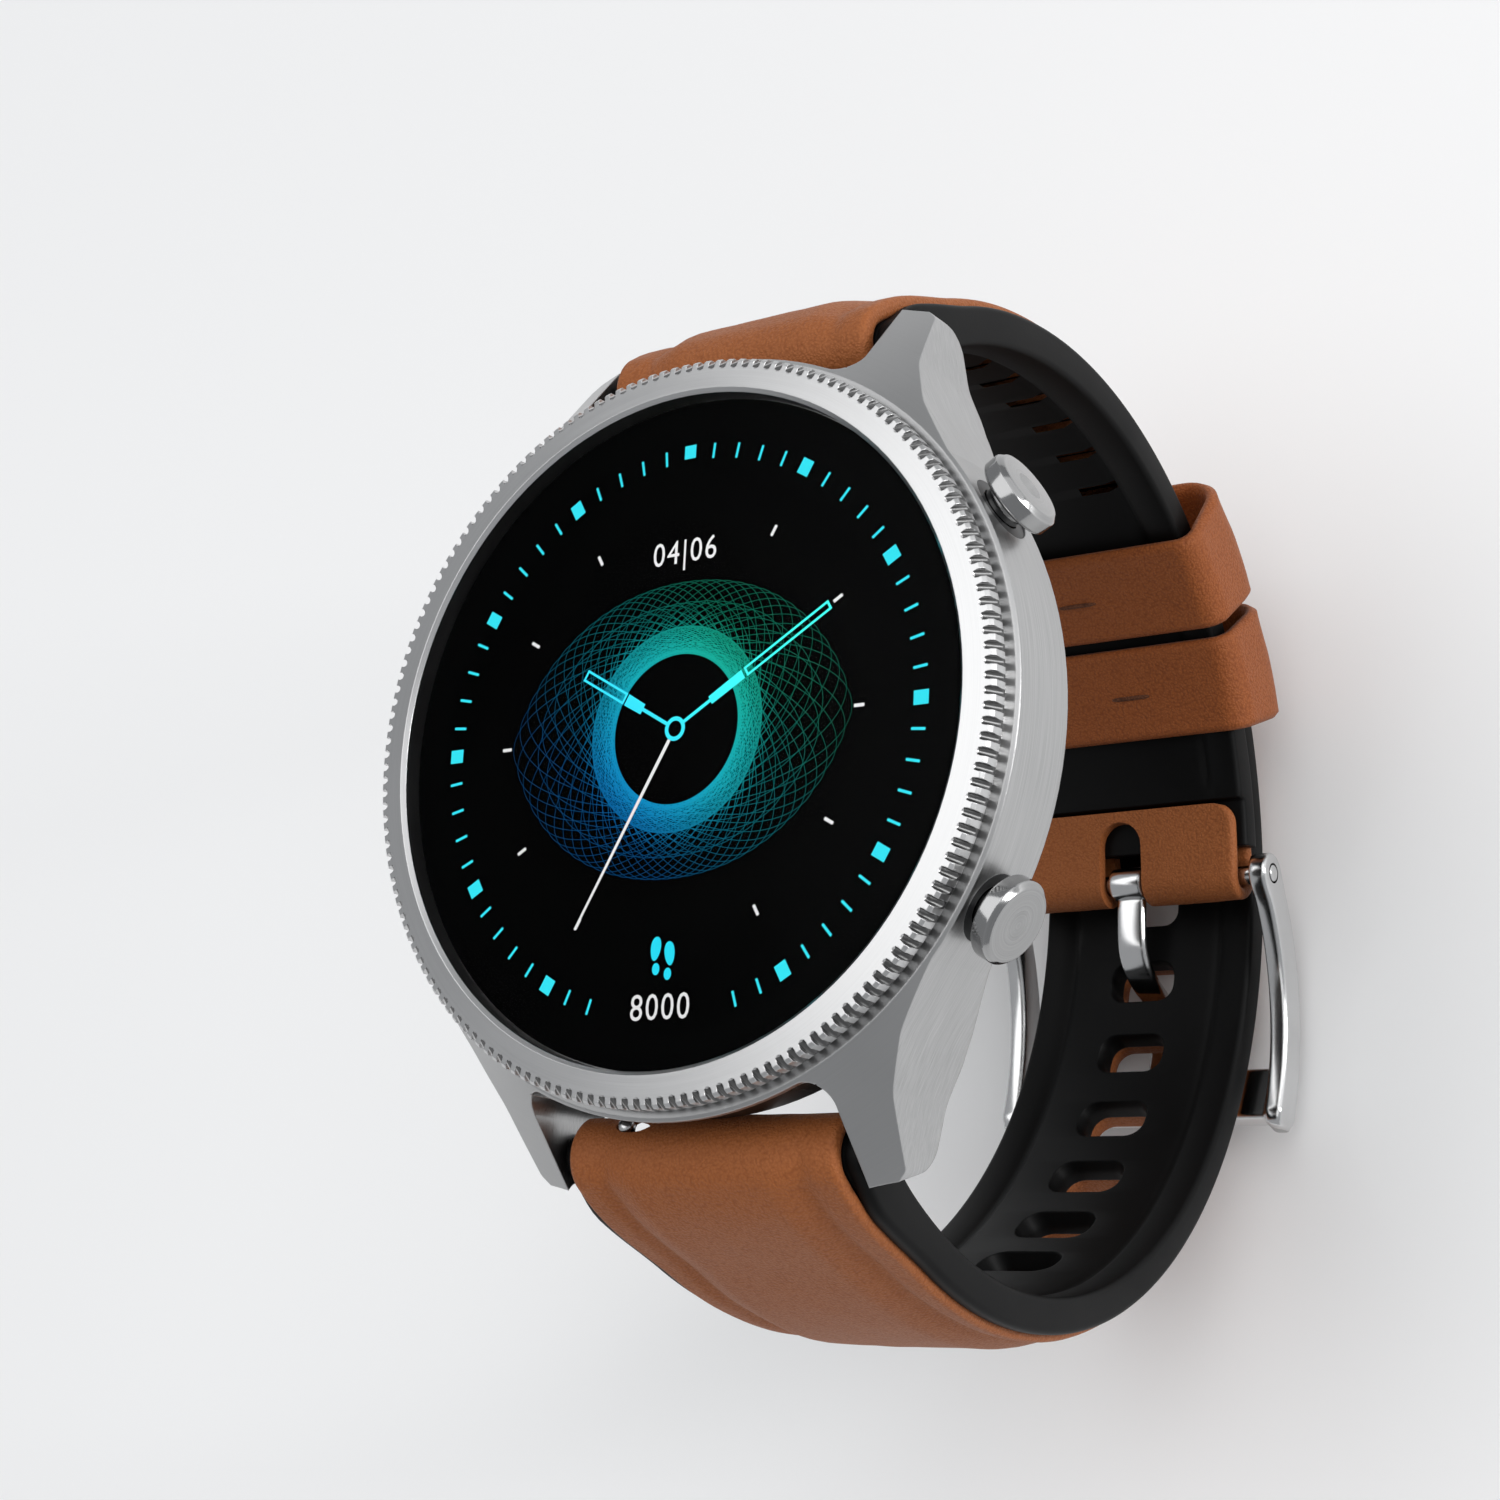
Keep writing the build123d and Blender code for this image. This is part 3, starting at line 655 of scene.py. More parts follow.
def soft_rectangle(half_u, half_v, radius, steps=6):
    u, v = half_u - radius, half_v - radius
    points = []
    for cu, cv, start in ((u, v, 0), (-u, v, 90), (-u, -v, 180), (u, -v, 270)):
        for i in range(steps + 1):
            t = radians(start + 90 * i / steps)
            points.append((cu + radius * cos(t), cv + radius * sin(t)))
    return points


def rubber_station(centre, in_r, angle):
    a = radians(angle)
    return polar(centre, in_r, angle), (sin(a), -cos(a)), 0.0


def end_rings(half_strap, groove_x):
    """The rubber's rounded end beyond the spring bar."""
    rings = []
    for angle, low, high in reversed(end_round(half_strap)):
        station = rubber_station(half_strap.centre, half_strap.in_r, angle)
        half = half_strap.rubber_half(station[0][1])
        rings.append(ring_at(station, rubber_section(half, 9.7, low, high - 0.02, high, groove_x, 0)))
    return rings


def upper_rubber(mat):
    rings = end_rings(UPPER, 7.6)
    for angle in spread(UPPER.end, 12.4, 1.2) + spread(12.0, 5.6, 0.8):
        station = rubber_station(LOOP, UPPER_IN_R, angle)
        half = UPPER.rubber_half(station[0][1])
        inner = UPPER.skin_half(station[0][1]) + 0.05
        low = UPPER.low(angle) + (0.55 if angle < 12.2 else 0.0)
        floor = UPPER.floor(angle)
        groove = 0.32 * smoothstep(13, 15, angle) * smoothstep(UPPER.end - 3, UPPER.end - 8, angle)
        rim = floor + 0.5 * smoothstep(UPPER.end, UPPER.end - 6, angle)
        rings.append(ring_at(station, rubber_section(half, inner, low, floor, rim, 7.4, groove)))
    obj = loft("upper_rubber", rings, mat)
    slits = [slit_cutter(x, angle, mat) for x in (6.0, -6.0) for angle in (62, 69, 76, 83, 90, 97)]
    return cut(obj, slits + [bar_bore(1, mat), knob_cutter(1, mat)])


def slit_cutter(x, angle, mat):
    """A short moulded slit across the inside of the strap, beside its border."""
    rings = []
    for r, grow in ((UPPER_IN_R - 0.6, 0.25), (UPPER_IN_R + 0.05, 0.1), (UPPER_IN_R + 0.42, 0.0)):
        ring = []
        for u, v in ((1, 1), (-1, 1), (-1, -1), (1, -1)):
            y, z = polar(LOOP, r, angle + v * (0.62 + grow))
            ring.append((x + u * (1.35 + grow), y, z))
        rings.append(ring)
    return loft("slit_cutter", rings, mat)


def bar_bore(sense, mat):
    rings = []
    for x in (-13, 13):
        rings.append([(x, *polar((sense * BAR_Y, BAR_Z), BAR_R + 0.01, 18 * i)) for i in range(20)])
    return loft("bore_cutter", rings, mat)


def lower_rubber(mat):
    rings = end_rings(LOWER_HALF, 6.6)
    for angle, point in lower_arc(lambda a: 0.0, 1.2):
        centre, in_r = (LOWER, LOWER_IN_R) if angle < TAIL_START else (LOOP, TAIL_IN_R)
        station = rubber_station(centre, in_r, angle)
        draw_in = tail_narrowing(angle, 8.8)
        half = max(0.8, LOWER_HALF.rubber_half(point[1]) - draw_in)
        inner = max(0.45, LOWER_HALF.skin_half(point[1]) + 0.05 - tail_narrowing(angle, 8.2))
        inner = min(inner, half - 0.25)
        low, floor = LOWER_HALF.low(angle), LOWER_HALF.floor(angle)
        groove = 0.3 * smoothstep(LOWER_HALF.end + 3, LOWER_HALF.end + 9, angle)
        groove *= smoothstep(30, 26, angle)
        rim = floor + 0.5 * smoothstep(LOWER_HALF.end, LOWER_HALF.end + 6, angle)
        groove_x = min(6.7, half * 0.7)
        rings.append(ring_at(station, rubber_section(half, inner, low, floor, rim, groove_x, groove)))
    obj = loft("lower_rubber", rings, mat)
    return cut(obj, hole_cutters(mat) + [bar_bore(-1, mat), knob_cutter(-1, mat)])


def cut(obj, cutters):
    """Cuts other meshes out of obj and removes them."""
    for cutter in cutters:
        m = obj.modifiers.new("cut", "BOOLEAN")
        m.operation = "DIFFERENCE"
        m.solver = "EXACT"
        m.object = cutter
    apply_modifiers(obj)
    for cutter in cutters:
        bpy.data.objects.remove(cutter)
    auto_smooth(obj, 40)
    return obj


def hole_cutter(angle, mat):
    """The oblong hole's shape, with flared rims."""
    y, z = polar(LOOP, TAIL_IN_R, angle)
    a = radians(angle)
    out = (sin(a), -cos(a))
    along = (cos(a), sin(a))
    outline = soft_rectangle(HOLE_SIZE[0] / 2, HOLE_SIZE[1] / 2, HOLE_CORNER)
    rings = []
    steps = ((-1.5, 1.3), (-0.1, 1.1), (0.25, 1.02), (0.6, 1.0), (2.3, 1.0), (2.75, 1.06), (6, 1.5))
    for depth, flare in steps:
        rings.append([(u * flare, y + along[0] * v * flare + out[0] * depth,
                       z + along[1] * v * flare + out[1] * depth) for u, v in outline])
    return loft("hole_cutter", rings, mat)


def hole_cutters(mat):
    return [hole_cutter(HOLE_FIRST + HOLE_PITCH * i, mat) for i in range(2, -6, -1)]


def knob_cutter(sense, mat):
    """Where the spring bar's release knob comes out of the strap's end."""
    lean = Vector((0, -sense * 0.707, 0.707))
    side = Vector((0, sense * 0.707, 0.707))
    rings = []
    for reach in (0.0, 5.0):
        centre = Vector((-5.35, sense * BAR_Y, BAR_Z)) + lean * reach
        rings.append([tuple(centre + Vector((1.35 * cos(t), 0, 0)) + side * (0.68 * sin(t)))
                      for t in (2 * pi * i / 20 for i in range(20))])
    return loft("knob_cutter", rings, mat)


# ---- keepers ----
def keeper(name, a0, a1, gap, mat):
    """A leather loop: a strip with round edges that goes once round both strap layers."""
    r_in = UPPER_IN_R - gap
    r_out = TAIL_IN_R + TAIL_LINING_T + TAIL_LEATHER_T + 0.15
    thick = KEEPER_T
    half_x, low, high = KEEPER_HALF + thick / 2, r_in - thick / 2, r_out + thick / 2
    big, small = 3.1, 1.25
    corners = [(half_x - big, high - big, big, 0), (-half_x + big, high - big, big, 90),
               (-half_x + small, low + small, small, 180), (half_x - small, low + small, small, 270)]
    outline = []
    for index, (cx, cr, corner, start) in enumerate(corners):
        for i in range(13):
            t = radians(start + 90 * i / 12)
            bend = sin(radians(180 * i / 12))
            dx, dr = cos(t), sin(t)
            outline.append((cx + corner * dx, cr + corner * dr, dx, dr, bend))
        nx, nr = cos(radians(start + 90)), sin(radians(start + 90))
        ahead = corners[(index + 1) % 4]
        x0, r0 = outline[-1][:2]
        x1, r1 = ahead[0] + ahead[2] * nx, ahead[1] + ahead[2] * nr
        count = max(3, int(hypot(x1 - x0, r1 - r0) / 0.6))
        for i in range(1, count):
            outline.append((x0 + (x1 - x0) * i / count, r0 + (r1 - r0) * i / count, nx, nr, 0.0))
    half_band = radians(a1 - a0) / 2 * 32.5
    middle = (a0 + a1) / 2
    rings = []
    for x, r, nx, nr, bend in outline:
        ring = []
        for v, t in strip_section(half_band, thick, 0.36):
            ruck = crumple((x, r, v), 2.6, 0.03 + 0.10 * bend) + crumple((x, r, v * 2.2), 0.9, 0.015)
            reach = t + (ruck if t > 0 else 0.0) * smoothstep(half_band, half_band - 0.8, abs(v))
            angle = middle + degrees(v / 32.5)
            radius = r + nr * reach
            y, z = polar(LOOP, radius, angle)
            ring.append((x + nx * reach, y, z))
        rings.append(ring)
    return loft(name, rings, mat, closed=True)


def strip_section(half_band, thick, r):
    """A leather strip's cut end: flat inside, slightly crowned outside, round edges."""
    points = []
    t = thick / 2
    for i in range(25):
        v = half_band * (1 - 2 * i / 24)
        edge = half_band - abs(v)
        rim = r - sqrt(max(0.0, r * r - max(0.0, r - edge) ** 2))
        points.append((v, t - rim + 0.06 * (1 - (v / half_band) ** 2)))
    points.append((-half_band, 0))
    for i in range(13):
        v = -half_band * (1 - 2 * i / 12)
        edge = half_band - abs(v)
        rim = 0.2 * max(0.0, 1 - edge / 0.3)
        points.append((v, -t + rim))
    points.append((half_band, 0))
    return points


def stitch(name, x, angle, radius, length, mat):
    """One thread lying in the leather, its ends going in."""
    rings = []
    for i in range(15):
        u = -1 + 2 * i / 14
        thick = 0.17 * sqrt(max(0.02, 1 - abs(u) ** 5))
        sink = 0.10 * abs(u) ** 4
        cy, cz = polar(LOOP, radius + sink, angle)
        ring = []
        for j in range(8):
            t = 2 * pi * j / 8
            ring.append((x + u * length / 2, cy + thick * cos(t), cz + thick * sin(t)))
        rings.append(ring)
    return loft(name, rings, mat)


# ---- dial ----
DIAL_CYAN = (0.03, 0.62, 0.72)


def dial_point(radius, clock):
    """A point on the dial: clock angle in degrees, clockwise from 12."""
    a = radians(clock)
    return radius * sin(a), radius * cos(a)


class Drawing:
    """Flat shapes on the display, gathered into one mesh per colour."""

    def __init__(self, lift):
        self.verts, self.faces, self.z = [], [], DISPLAY_Z + lift

    def polygon(self, points):
        first = len(self.verts)
        self.verts += [(x, y, self.z) for x, y in points]
        self.faces.append(tuple(range(first, first + len(points))))

    def bar(self, r0, r1, clock, width0, width1=None, shift=0.0):
        """A radial bar between two radii, pointing along a clock angle."""
        width1 = width0 if width1 is None else width1
        a = radians(clock)
        out, side = (sin(a), cos(a)), (cos(a), -sin(a))
        corners = ((r0, -width0 / 2), (r1, -width1 / 2), (r1, width1 / 2), (r0, width0 / 2))
        self.polygon([(out[0] * r + side[0] * (w + shift), out[1] * r + side[1] * (w + shift))
                      for r, w in corners])

    def ribbon(self, points, width, closed=True):
        n = len(points)
        first = len(self.verts)
        for i, (x, y) in enumerate(points):
            before, after = points[i - 1], points[(i + 1) % n]
            dx, dy = after[0] - before[0], after[1] - before[1]
            size = hypot(dx, dy) or 1.0
            for side in (-0.5, 0.5):
                self.verts.append((x - dy / size * width * side, y + dx / size * width * side, self.z))
        for i in range(n if closed else n - 1):
            a, b = first + 2 * i, first + 2 * ((i + 1) % n)
            self.faces.append((a, b, b + 1, a + 1))

    def done(self, name, mat):
        obj = new_object(name, self.verts, self.faces, mat, smooth=False)
        bm = bmesh.new()
        bm.from_mesh(obj.data)
        for face in bm.faces:
            if face.normal.z < 0:
                face.normal_flip()
        bm.to_mesh(obj.data)
        bm.free()
        return finish_piece(obj, "watch", [])


def dial_marks():
    cyan, white = Drawing(0.02), Drawing(0.02)
    for minute in range(60):
        clock = minute * 6
        if minute % 5 == 0:
            if minute % 30:
                cyan.bar(16.75, 17.75, clock, 0.85)
        elif abs(minute - 30) > 2:
            cyan.bar(16.75, 17.7, clock, 0.17)
    cyan.bar(16.9, 17.75, 0, 0.85)
    for hour in range(12):
        if hour not in (0, 6):
            white.bar(12.75, 13.45, hour * 30, 0.2)
    cyan.done("dial_minutes", glow("dial_cyan", DIAL_CYAN, DIAL_CYAN, 1.3))
    white.done("dial_hours", glow("dial_white", (0.8, 0.8, 0.8), (0.9, 0.9, 0.9), 1.0))


def dial_hand(drawing, clock, reach, wide):
    """A hand: a thin stem, a filled bar and a hollow outlined end."""
    drawing.bar(0.7, 2.9, clock, 0.22)
    drawing.bar(2.9, 2.9 + 0.28 * (reach - 2.9), clock, wide * 0.9, wide)
    start = 2.9 + 0.3 * (reach - 2.9)
    for shift in (-wide / 2 + 0.07, wide / 2 - 0.07):
        drawing.bar(start, reach, clock, 0.15, shift=shift)
    drawing.bar(start, start + 0.15, clock, wide)
    drawing.bar(reach - 0.15, reach, clock, wide)


def dial_hands():
    hands, second = Drawing(0.05), Drawing(0.06)
    dial_hand(hands, 300, 8.2, 0.75)
    dial_hand(hands, 60, 12.5, 0.62)
    hands.ribbon([dial_point(0.62, 15 * i) for i in range(24)], 0.26)
    second.bar(0.75, 13.5, 210, 0.24, 0.16)
    hands.done("dial_hands", glow("hand_colour", (0.02, 0.42, 0.85), (0.05, 0.85, 0.72), 1.4))
    second.done("dial_second_hand", glow("second_white", (0.85, 0.85, 0.85), (0.9, 0.9, 0.9), 1.0))


def dial_digits(name, text, height, centre_y, mat):
    curve = bpy.data.curves.new(name, "FONT")
    curve.body = text
    curve.size = 1.0
    curve.align_x = "CENTER"
    curve.space_character = 1.12
    curve.resolution_u = 3
    raw = place_object(name + "_font", curve)
    bpy.context.view_layer.update()
    mesh = bpy.data.meshes.new_from_object(raw.evaluated_get(bpy.context.evaluated_depsgraph_get()))
    bpy.data.objects.remove(raw)
    ys = [v.co.y for v in mesh.vertices]
    tall = max(ys) - min(ys)
    scale = height / tall * MM
    for v in mesh.vertices:
        v.co = Vector((v.co.x * scale * 0.92, (v.co.y - min(ys) - tall / 2) * scale + centre_y * MM,
                       (DISPLAY_Z + 0.03) * MM))
    mesh.materials.clear()
    mesh.materials.append(mat)
    return finish_piece(place_object(name, mesh), "watch", [])


def oval(cx, cy, a, b, turn, count=20, taper=0.0):
    """An egg outline, narrower at one end when taper is set."""
    t = radians(turn)
    points = []
    for i in range(count):
        u = 2 * pi * i / count
        x, y = a * cos(u) * (1 + taper * sin(u)), b * sin(u)
        points.append((cx + x * cos(t) - y * sin(t), cy + x * sin(t) + y * cos(t)))
    return points


def steps_icon():
    """Two soles, each a front and a heel."""
    icon = Drawing(0.03)
    for side, lift in ((-1, 0.12), (1, -0.2)):
        icon.polygon(oval(side * 0.52, -13.3 + lift, 0.37, 0.72, side * 7, taper=0.15))
        icon.polygon(oval(side * 0.44, -14.5 + lift, 0.27, 0.36, 0))
    icon.done("dial_steps_icon", glow("icon_cyan", (0.02, 0.62, 0.78), (0.02, 0.7, 0.8), 1.2))


def spiro_material():
    """The figure's glow: brightest at the inner ring, dimmer towards the petal tips."""
    s = Shader("spiro_glow")
    place = s.node("TexCoord")
    radius = s.axis_radius(place)[1]
    dimming = [(0.30, 1.0), (0.42, 0.66), (0.52, 0.24), (0.85, 0.17), (0.97, 0.06)]
    fade = s.ramp(s.math("MULTIPLY", (radius, "Value"), 1000 / 14.0), 0,
                  [(position, grey(value)) for position, value in dimming])
    along = s.vector("DOT_PRODUCT", (place, "Object"), (40.0, 42.0, 0))
    half = s.math("ADD", (along, "Value"), 0.5, clamp=True)
    hue = s.ramp(half, 0, [(0.1, (0.005, 0.20, 0.62)), (0.5, (0.01, 0.46, 0.55)), (0.9, (0.01, 0.50, 0.30))])
    tinted = s.vector("MULTIPLY", (hue, "Color"), (fade, "Color"))
    s.drive("Emission Color", tinted, 0)
    s.set(Emission_Strength=1.0, Base_Color=(0, 0, 0, 1), Specular_IOR_Level=0.0)
    return s.mat


def spirograph():
    """Ellipses turned in even steps: their near sides weave a ring, their ends are petals."""
    figure = Drawing(0.0)
    families = ((30, 12.6, 4.6, 0.0), (16, 10.8, 5.2, 0.35), (40, 6.3, 4.7, 0.1))
    for count, long_r, short_r, offset in families:
        for i in range(count):
            turn = 180 * (i + offset) / count
            lift = 1 - 0.28 * abs(sin(radians(turn))) if long_r > 7 else 1.0
            figure.z += 0.00012
            figure.ribbon(oval(0, 0, long_r * lift, short_r, turn, count=84), 0.042)
    figure.done("dial_figure", spiro_material())


def printed_border(mat):
    """The black print under the edge of the glass."""
    rings = Drawing(-0.02)
    count = 180
    for i in range(count):
        a0, a1 = 360 * i / count, 360 * (i + 1) / count
        corners = ((BORDER_IN_R, a0), (BORDER_IN_R, a1), (BORDER_OUT_R, a1), (BORDER_OUT_R, a0))
        rings.polygon([dial_point(r, clock) for r, clock in corners])
    rings.done("glass_border", mat)


# ---- buttons and buckle ----
def lathe(name, centre, axis, profile, mat, count=96):
    """A turned piece from (radius, distance along the axis) points."""
    out = Vector(axis).normalized()
    side = out.orthogonal().normalized()
    other = out.cross(side)
    rings = []
    for r, d in profile:
        rings.append([tuple(Vector(centre) + out * d + (side * cos(t) + other * sin(t)) * r)
                      for t in (2 * pi * i / count for i in range(count))])
    obj = loft(name, rings, mat)
    auto_smooth(obj, 25)
    return obj


def curve_point(start, control, end, t):
    return start * (1 - t) ** 2 + control * 2 * t * (1 - t) + end * t * t


def rounded_profile(points, radius, steps=4):
    """The same (radius, distance) outline with each inner corner rounded."""
    found = [points[0]]
    for before, corner, after in zip(points, points[1:], points[2:]):
        a, b = Vector(before) - Vector(corner), Vector(after) - Vector(corner)
        reach = min(radius, a.length * 0.45, b.length * 0.45)
        start, end = Vector(corner) + a.normalized() * reach, Vector(corner) + b.normalized() * reach
        for i in range(steps + 1):
            t = i / steps
            p = curve_point(start, Vector(corner), end, t)
            found.append((p.x, p.y))
    found.append(points[-1])
    return found


def make_buttons():
    for name, side in (("upper", 1), ("lower", -1)):
        out = unit_radial(side)
        mat = spun_metal(name + "_button_metal", (0, 0, BUTTON_Z * MM), out, 0.42)
        outline = [(0.8, 20.5), (0.8, 22.9), (1.3, 22.92), (1.3, 23.8), (1.42, 23.9), (2.38, 23.95),
                   (2.55, 24.12), (2.55, 24.98), (2.24, BUTTON_TOP_R - 0.01), (0.02, BUTTON_TOP_R)]
        head = lathe(name + "_push_cap", (0, 0, BUTTON_Z), out, rounded_profile(outline, 0.045), mat)
        finish_piece(head, name + "_push", [name + "_button"])


def circle_through(p, q, r):
    (ax, ay), (bx, by), (cx, cy) = p, q, r
    d = 2 * (ax * (by - cy) + bx * (cy - ay) + cx * (ay - by))
    a2, b2, c2 = ax * ax + ay * ay, bx * bx + by * by, cx * cx + cy * cy
    ux = (a2 * (by - cy) + b2 * (cy - ay) + c2 * (ay - by)) / d
    uy = (a2 * (cx - bx) + b2 * (ax - cx) + c2 * (bx - ax)) / d
    return (ux, uy), hypot(ax - ux, ay - uy)


def buckle_arm(x, mat):
    """One side of the buckle: a curved bar with a round end over the pin."""
    front = polar(LOOP, BAR_MID_R, -24.5)
    centre, radius = circle_through(HEEL, polar(LOOP, 34.9, -12), front)
    a_heel, a_front = angle_from(centre, HEEL), angle_from(centre, front)
    rings = []
    degree = degrees(1 / radius)
    ends = [a_front - 2.0 * degree + 0.3 * degree * i for i in range(4)]
    run = spread(a_front - 0.9 * degree, a_heel, 1.2)
    cap = [a_heel + degree * 1.5 * sin(radians(11 * i)) for i in range(1, 9)]
    for angle in ends + run + cap:
        beyond = max(0.0, (angle - a_heel) / degree)
        before = max(0.0, (a_front - angle) / degree)
        if beyond:
            wide = sqrt(max(0.01, 1.5 ** 2 - beyond ** 2))
        else:
            wide = 1.32 + 0.18 * smoothstep(a_heel - 6, a_heel, angle)
        half_r = wide - 0.35 * smoothstep(1.2, 2.0, before)
        thin = 0.7 - 0.12 * smoothstep(1.2, 2.0, before)
        section = soft_rectangle(thin, half_r, min(0.34, half_r * 0.9, thin * 0.9))
        ring = []
        for u, v in section:
            y, z = polar(centre, radius + v, angle)
            ring.append((x + u, y, z))
        rings.append(ring)
    return loft("buckle_arm", rings, mat)


def buckle_front_bar(mat):
    """The plate the tongue rests on, curved like the strap, with soft edges."""
    rings = []
    half = 11.58
    ends = (0, 0.05, 0.15, 0.3, 0.45)
    middle = spread(-half + 0.6, half - 0.6, 2.0)
    for x in [e - half for e in ends] + middle + [half - e for e in reversed(ends)]:
        edge = half - abs(x)
        shrink = 0.5 * (1 - sqrt(max(0.0, 1 - (1 - min(1.0, edge / 0.5)) ** 2)))
        ring = []
        for u, v in soft_rectangle(2.1 - shrink, 0.74 - shrink, 0.36):
            y, z = polar(LOOP, BAR_MID_R + v, -23.9 + degrees(u / BAR_MID_R))
            ring.append((x, y, z))
        rings.append(ring)
    return loft("buckle_bar", rings, mat)


def make_buckle(mat):
    pieces = [buckle_arm(-ARM_X, mat), buckle_arm(ARM_X, mat), buckle_front_bar(mat)]
    bpy.ops.object.select_all(action="DESELECT")
    for piece in pieces:
        piece.select_set(True)
    bpy.context.view_layer.objects.active = pieces[0]
    bpy.ops.object.join()
    pieces[0].name = "buckle_loop"
    finish_piece(pieces[0], "buckle", ["buckle_frame"])
    outline = [(0.02, -0.3), (0.62, -0.3), (0.62, 0.0), (0.5, 0.06), (0.02, 0.09)]
    for name, side in (("left", -1), ("right", 1)):
        rivet = lathe("buckle_pin_end_" + name, (side * 11.66, *HEEL), (side, 0, 0),
                      rounded_profile(outline, 0.03), mat, 40)
        finish_piece(rivet, "buckle", [])


def tongue_piece(mat):
    """The tongue: a flat blade that grows out of its barrel and curls over the bar."""
    route = [(31.0, 0.6), (31.1, -4.5), (31.75, -8.7), (33.9, -10.9), (36.4, -11.9), (38.1, -14.6),
             (38.6, -18.5), (38.35, -24.5)]
    points = [Vector((0, *polar(LOOP, r, a))) for r, a in route]
    path = []
    for i in range(1, len(points) - 1):
        start = points[0] if i == 1 else (points[i - 1] + points[i]) / 2
        end = points[-1] if i == len(points) - 2 else (points[i] + points[i + 1]) / 2
        for j in range(6):
            t = j / 6
            path.append(curve_point(start, points[i], end, t))
    path.append(points[-1])
    rings = []
    for (y, z), (ny, nz), _ in stations_along([(p.y, p.z) for p in path]):
        tip = smoothstep(0.0, 1.0, max(0.0, (len(path) - 1 - len(rings)) / 2.0))
        half_x = 1.15 * (0.72 + 0.28 * tip)
        half_t = 0.38 * (0.6 + 0.4 * tip)
        section = soft_rectangle(half_x, half_t, half_t * 0.8)
        rings.append([(u, y + ny * v, z + nz * v) for u, v in section])
    blade = loft("tongue_blade", rings, mat)
    barrel = lathe("tongue_barrel", (0, *HEEL), (1, 0, 0),
                   rounded_profile([(0.82, -1.3), (1.25, -1.3), (1.25, 1.3), (0.82, 1.3)], 0.12), mat, 48)
    finish_piece(blade, "tongue", ["buckle_tongue"])
    finish_piece(barrel, "tongue", [])


# ---- watch ----
def dress(node, mat):
    """Gives a CAD node its material."""
    mesh = NODES[node].data
    mesh.materials.clear()
    mesh.materials.append(mat)
    auto_smooth(NODES[node], 30)


def unit_radial(side):
    a = radians(side * BUTTON_ANGLE)
    return cos(a), sin(a), 0.0


def dress_watch():
    steel = satin_metal("spring_steel", 0.6, 0.25)
    board = moulded("board_green", (0.012, 0.09, 0.045), 0.3)
    black = moulded("moulded_black", (0.012, 0.012, 0.013), 0.4)
    dress("case_body", round_brushed("case_metal", 0.42, 0.22))
    # the bezel's notches get painted shade in their colour
    dress("bezel_ring", round_brushed("bezel_metal", 0.58, 0.05, (0.27, 0.34), 0.00008, along_z=False,
                                      front_streak=1.0, teeth=BEZEL_TEETH))
    dress("cover_glass", cover_glass())
    for node in ("touch_sensor", "display_panel"):
        dress(node, dial_black())
    for node in ("glass_gasket", "rear_gasket"):
        dress(node, rubber(node + "_rubber", 0.01, 0.6))
    dress("display_flex", moulded("flex_amber", (0.30, 0.11, 0.02), 0.3))
    dress("mid_frame", moulded("frame_plastic", (0.03, 0.03, 0.032), 0.5))
    for node in ("main_board", "sensor_board"):
        dress(node, board)
    for node in ("board_components", "side_switches", "sensor_parts"):
        dress(node, black)
    dress("shield_can", satin_metal("shield_sheet", 0.65, 0.3))
    dress("battery", moulded("battery_foil", (0.42, 0.43, 0.45), 0.35, metallic=0.7))
    dress("vibration_motor", satin_metal("motor_can", 0.6, 0.3))
    dress("rear_cover", moulded("rear_plastic", (0.022, 0.017, 0.015), 0.28))
    dress("sensor_window", moulded("sensor_lens", (0.006, 0.006, 0.008), 0.06, grain=400.0))
    dress("charge_contacts", moulded("contact_gold", (0.75, 0.50, 0.18), 0.22, metallic=1.0))
    dress("rear_screws", satin_metal("screw_black", 0.12, 0.35))
    for name in ("upper", "lower"):
        dress(name + "_button", steel)
        dress(name + "_button_clip", steel)
        dress(name + "_button_spring", steel)
        dress(name + "_button_sleeve", black)
        for part in ("_spring_bar", "_release_pin", "_bar_spring"):
            dress(name + part, steel)


def dress_buckle():
    polished = satin_metal("buckle_polish", 0.66, 0.14, 0.00035, 1800.0, 0.02)
    for node in ("buckle_frame", "buckle_pin", "buckle_tongue"):
        dress(node, polished)
    make_buckle(polished)
    tongue_piece(polished)


def make_strap():
    skin = leather("strap_leather", (0.255, 0.073, 0.017), (0.355, 0.112, 0.029), 5600.0)
    band = leather("keeper_leather", (0.215, 0.053, 0.010), (0.32, 0.09, 0.019), 5600.0, 0.7)
    silicone = rubber("strap_rubber", 0.0022, 0.5)
    thread = leather("thread", (0.07, 0.022, 0.008), (0.16, 0.055, 0.022), 6000.0)
    for make, node in ((upper_leather, "upper_strap_leather"), (lower_leather, "lower_strap_leather")):
        obj = finish_piece(make(skin), "watch", [node])
    finish_piece(upper_rubber(silicone), "watch", ["upper_strap_lining"])
    finish_piece(lower_rubber(silicone), "watch", ["lower_strap_lining"])
    loops = (("fixed_loop", "watch", "fixed_keeper", (22.0, 35.8, 0.0), (2.8, 28.6, 28.55, 3.4)),
             ("loose_loop", "loose_keeper", "floating_keeper", (37.6, 51.8, 0.15), (0.8, 44.2, 28.4, 3.4)))
    for name, body, node, span, _ in loops:
        finish_piece(keeper(name, *span, band), body, [node])
    for name, body, _, _, thread_place in loops:
        finish_piece(stitch(name + "_stitch", *thread_place, thread), body, [])


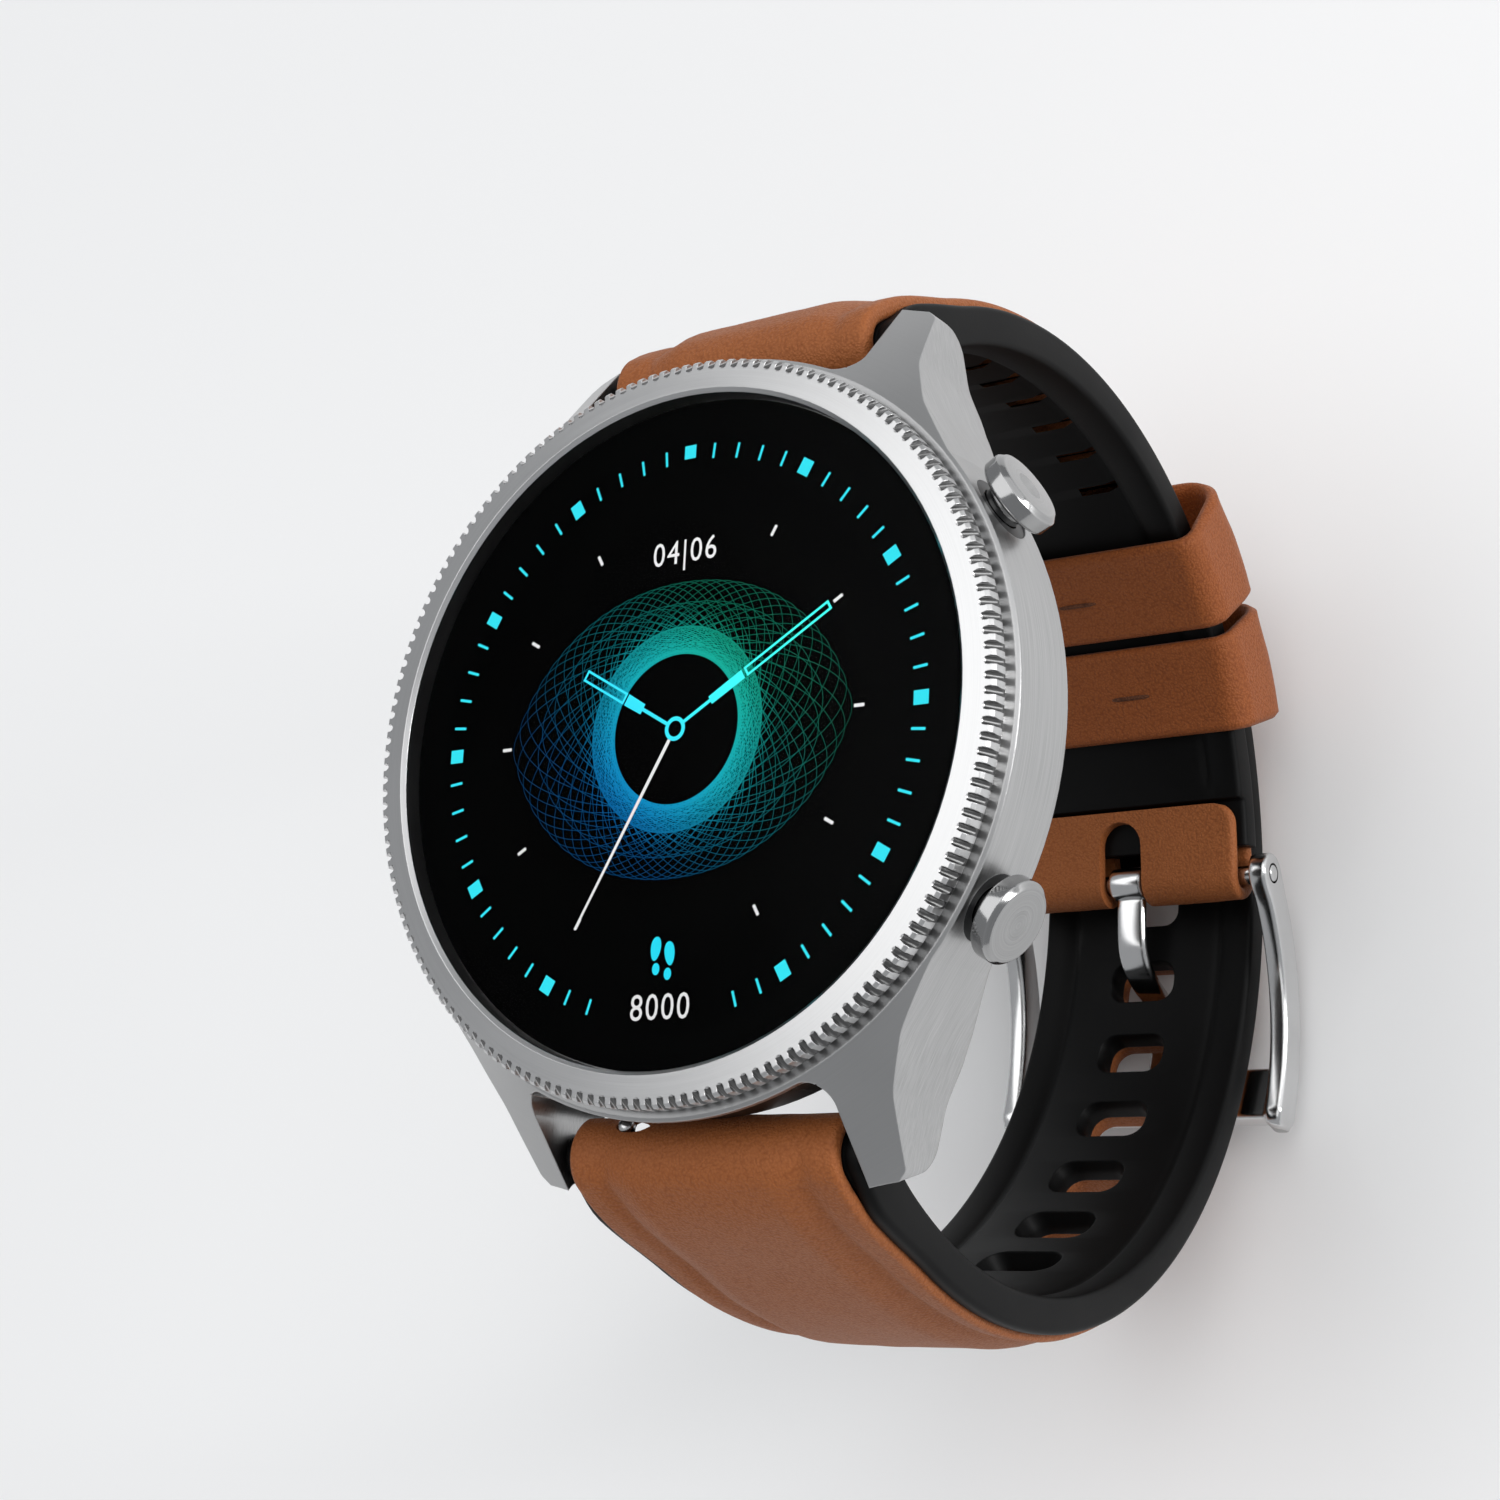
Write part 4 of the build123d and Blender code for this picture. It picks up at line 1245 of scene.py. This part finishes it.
# ---- studio ----
def floor_material():
    s = Shader("studio_floor")
    cloud = s.noise(s.coords(), 3.0, 2.0)
    s.shade("Base Color", cloud, "Fac", [(0.2, grey(0.86)), (0.8, grey(0.88))])
    s.set(Roughness=0.9)
    s.set(Specular_IOR_Level=0.1)
    return s.mat


def make_floor():
    low = CAD_BOX[0][2] / MM - 0.4
    reach = 2500
    corners = [(x * reach, y * reach, low) for x, y in ((-1, -1), (1, -1), (1, 1), (-1, 1))]
    new_object("studio_floor", corners, [(0, 1, 2, 3)], floor_material(), smooth=False)


def area_light(name, place, target, size, power):
    light = bpy.data.lights.new(name, "AREA")
    light.shape = "RECTANGLE"
    light.size, light.size_y = size
    light.energy = power
    obj = place_object(name, light)
    obj.location = Vector(place) * MM
    look = Vector(target) * MM - obj.location
    obj.rotation_euler = look.to_track_quat("-Z", "Y").to_euler()


def sun_light(name, source, strength, spread_degrees):
    light = bpy.data.lights.new(name, "SUN")
    light.energy = strength
    light.angle = radians(spread_degrees)
    obj = place_object(name, light)
    obj.rotation_euler = (-Vector(source)).to_track_quat("-Z", "Y").to_euler()


def make_lights():
    world = bpy.data.worlds.new("studio")
    bpy.context.scene.world = world
    world.use_nodes = True
    back = world.node_tree.nodes["Background"]
    back.inputs["Color"].default_value = (0.95, 0.97, 1.0, 1)
    back.inputs["Strength"].default_value = 0.42
    sun_light("sky_top", (0.0, 0.25, 1.0), 1.45, 70)
    sun_light("sky_right", (0.75, 0.45, 0.5), 0.55, 60)
    area_light("wall_card", (330, 40, 60), (10, 0, 0), (0.06, 0.16), 0.5)
    bpy.context.scene.view_settings.view_transform = "Standard"


def make_camera():
    right = Vector((0.810, 0.048, -0.585)).normalized()
    forward = Vector((-0.578, 0.232, -0.782)).normalized()
    up = right.cross(forward).normalized()
    right = forward.cross(up).normalized()
    data = bpy.data.cameras.new("camera")
    data.sensor_width = 36.0
    data.lens = 66.6
    data.clip_start, data.clip_end = 0.01, 20.0
    camera = place_object("camera", data)
    place = Matrix((right, up, -forward)).transposed().to_4x4()
    place.translation = Vector((98.6, -39.2, 124.7 + GLASS_TOP)) * MM
    camera.matrix_world = place
    bpy.context.scene.camera = camera


dress_watch()
make_buttons()
dress_buckle()
make_strap()
printed_border(dial_black())
spirograph()
dial_marks()
dial_hands()
dial_digits("dial_date", "04|06", 1.95, 10.8, glow("date_white", (0.8, 0.8, 0.8), (0.9, 0.9, 0.9), 1.0))
dial_digits("dial_count", "8000", 1.55, -16.6, glow("count_white", (0.8, 0.8, 0.8), (0.9, 0.9, 0.9), 1.0))
steps_icon()
make_floor()
make_lights()
make_camera()
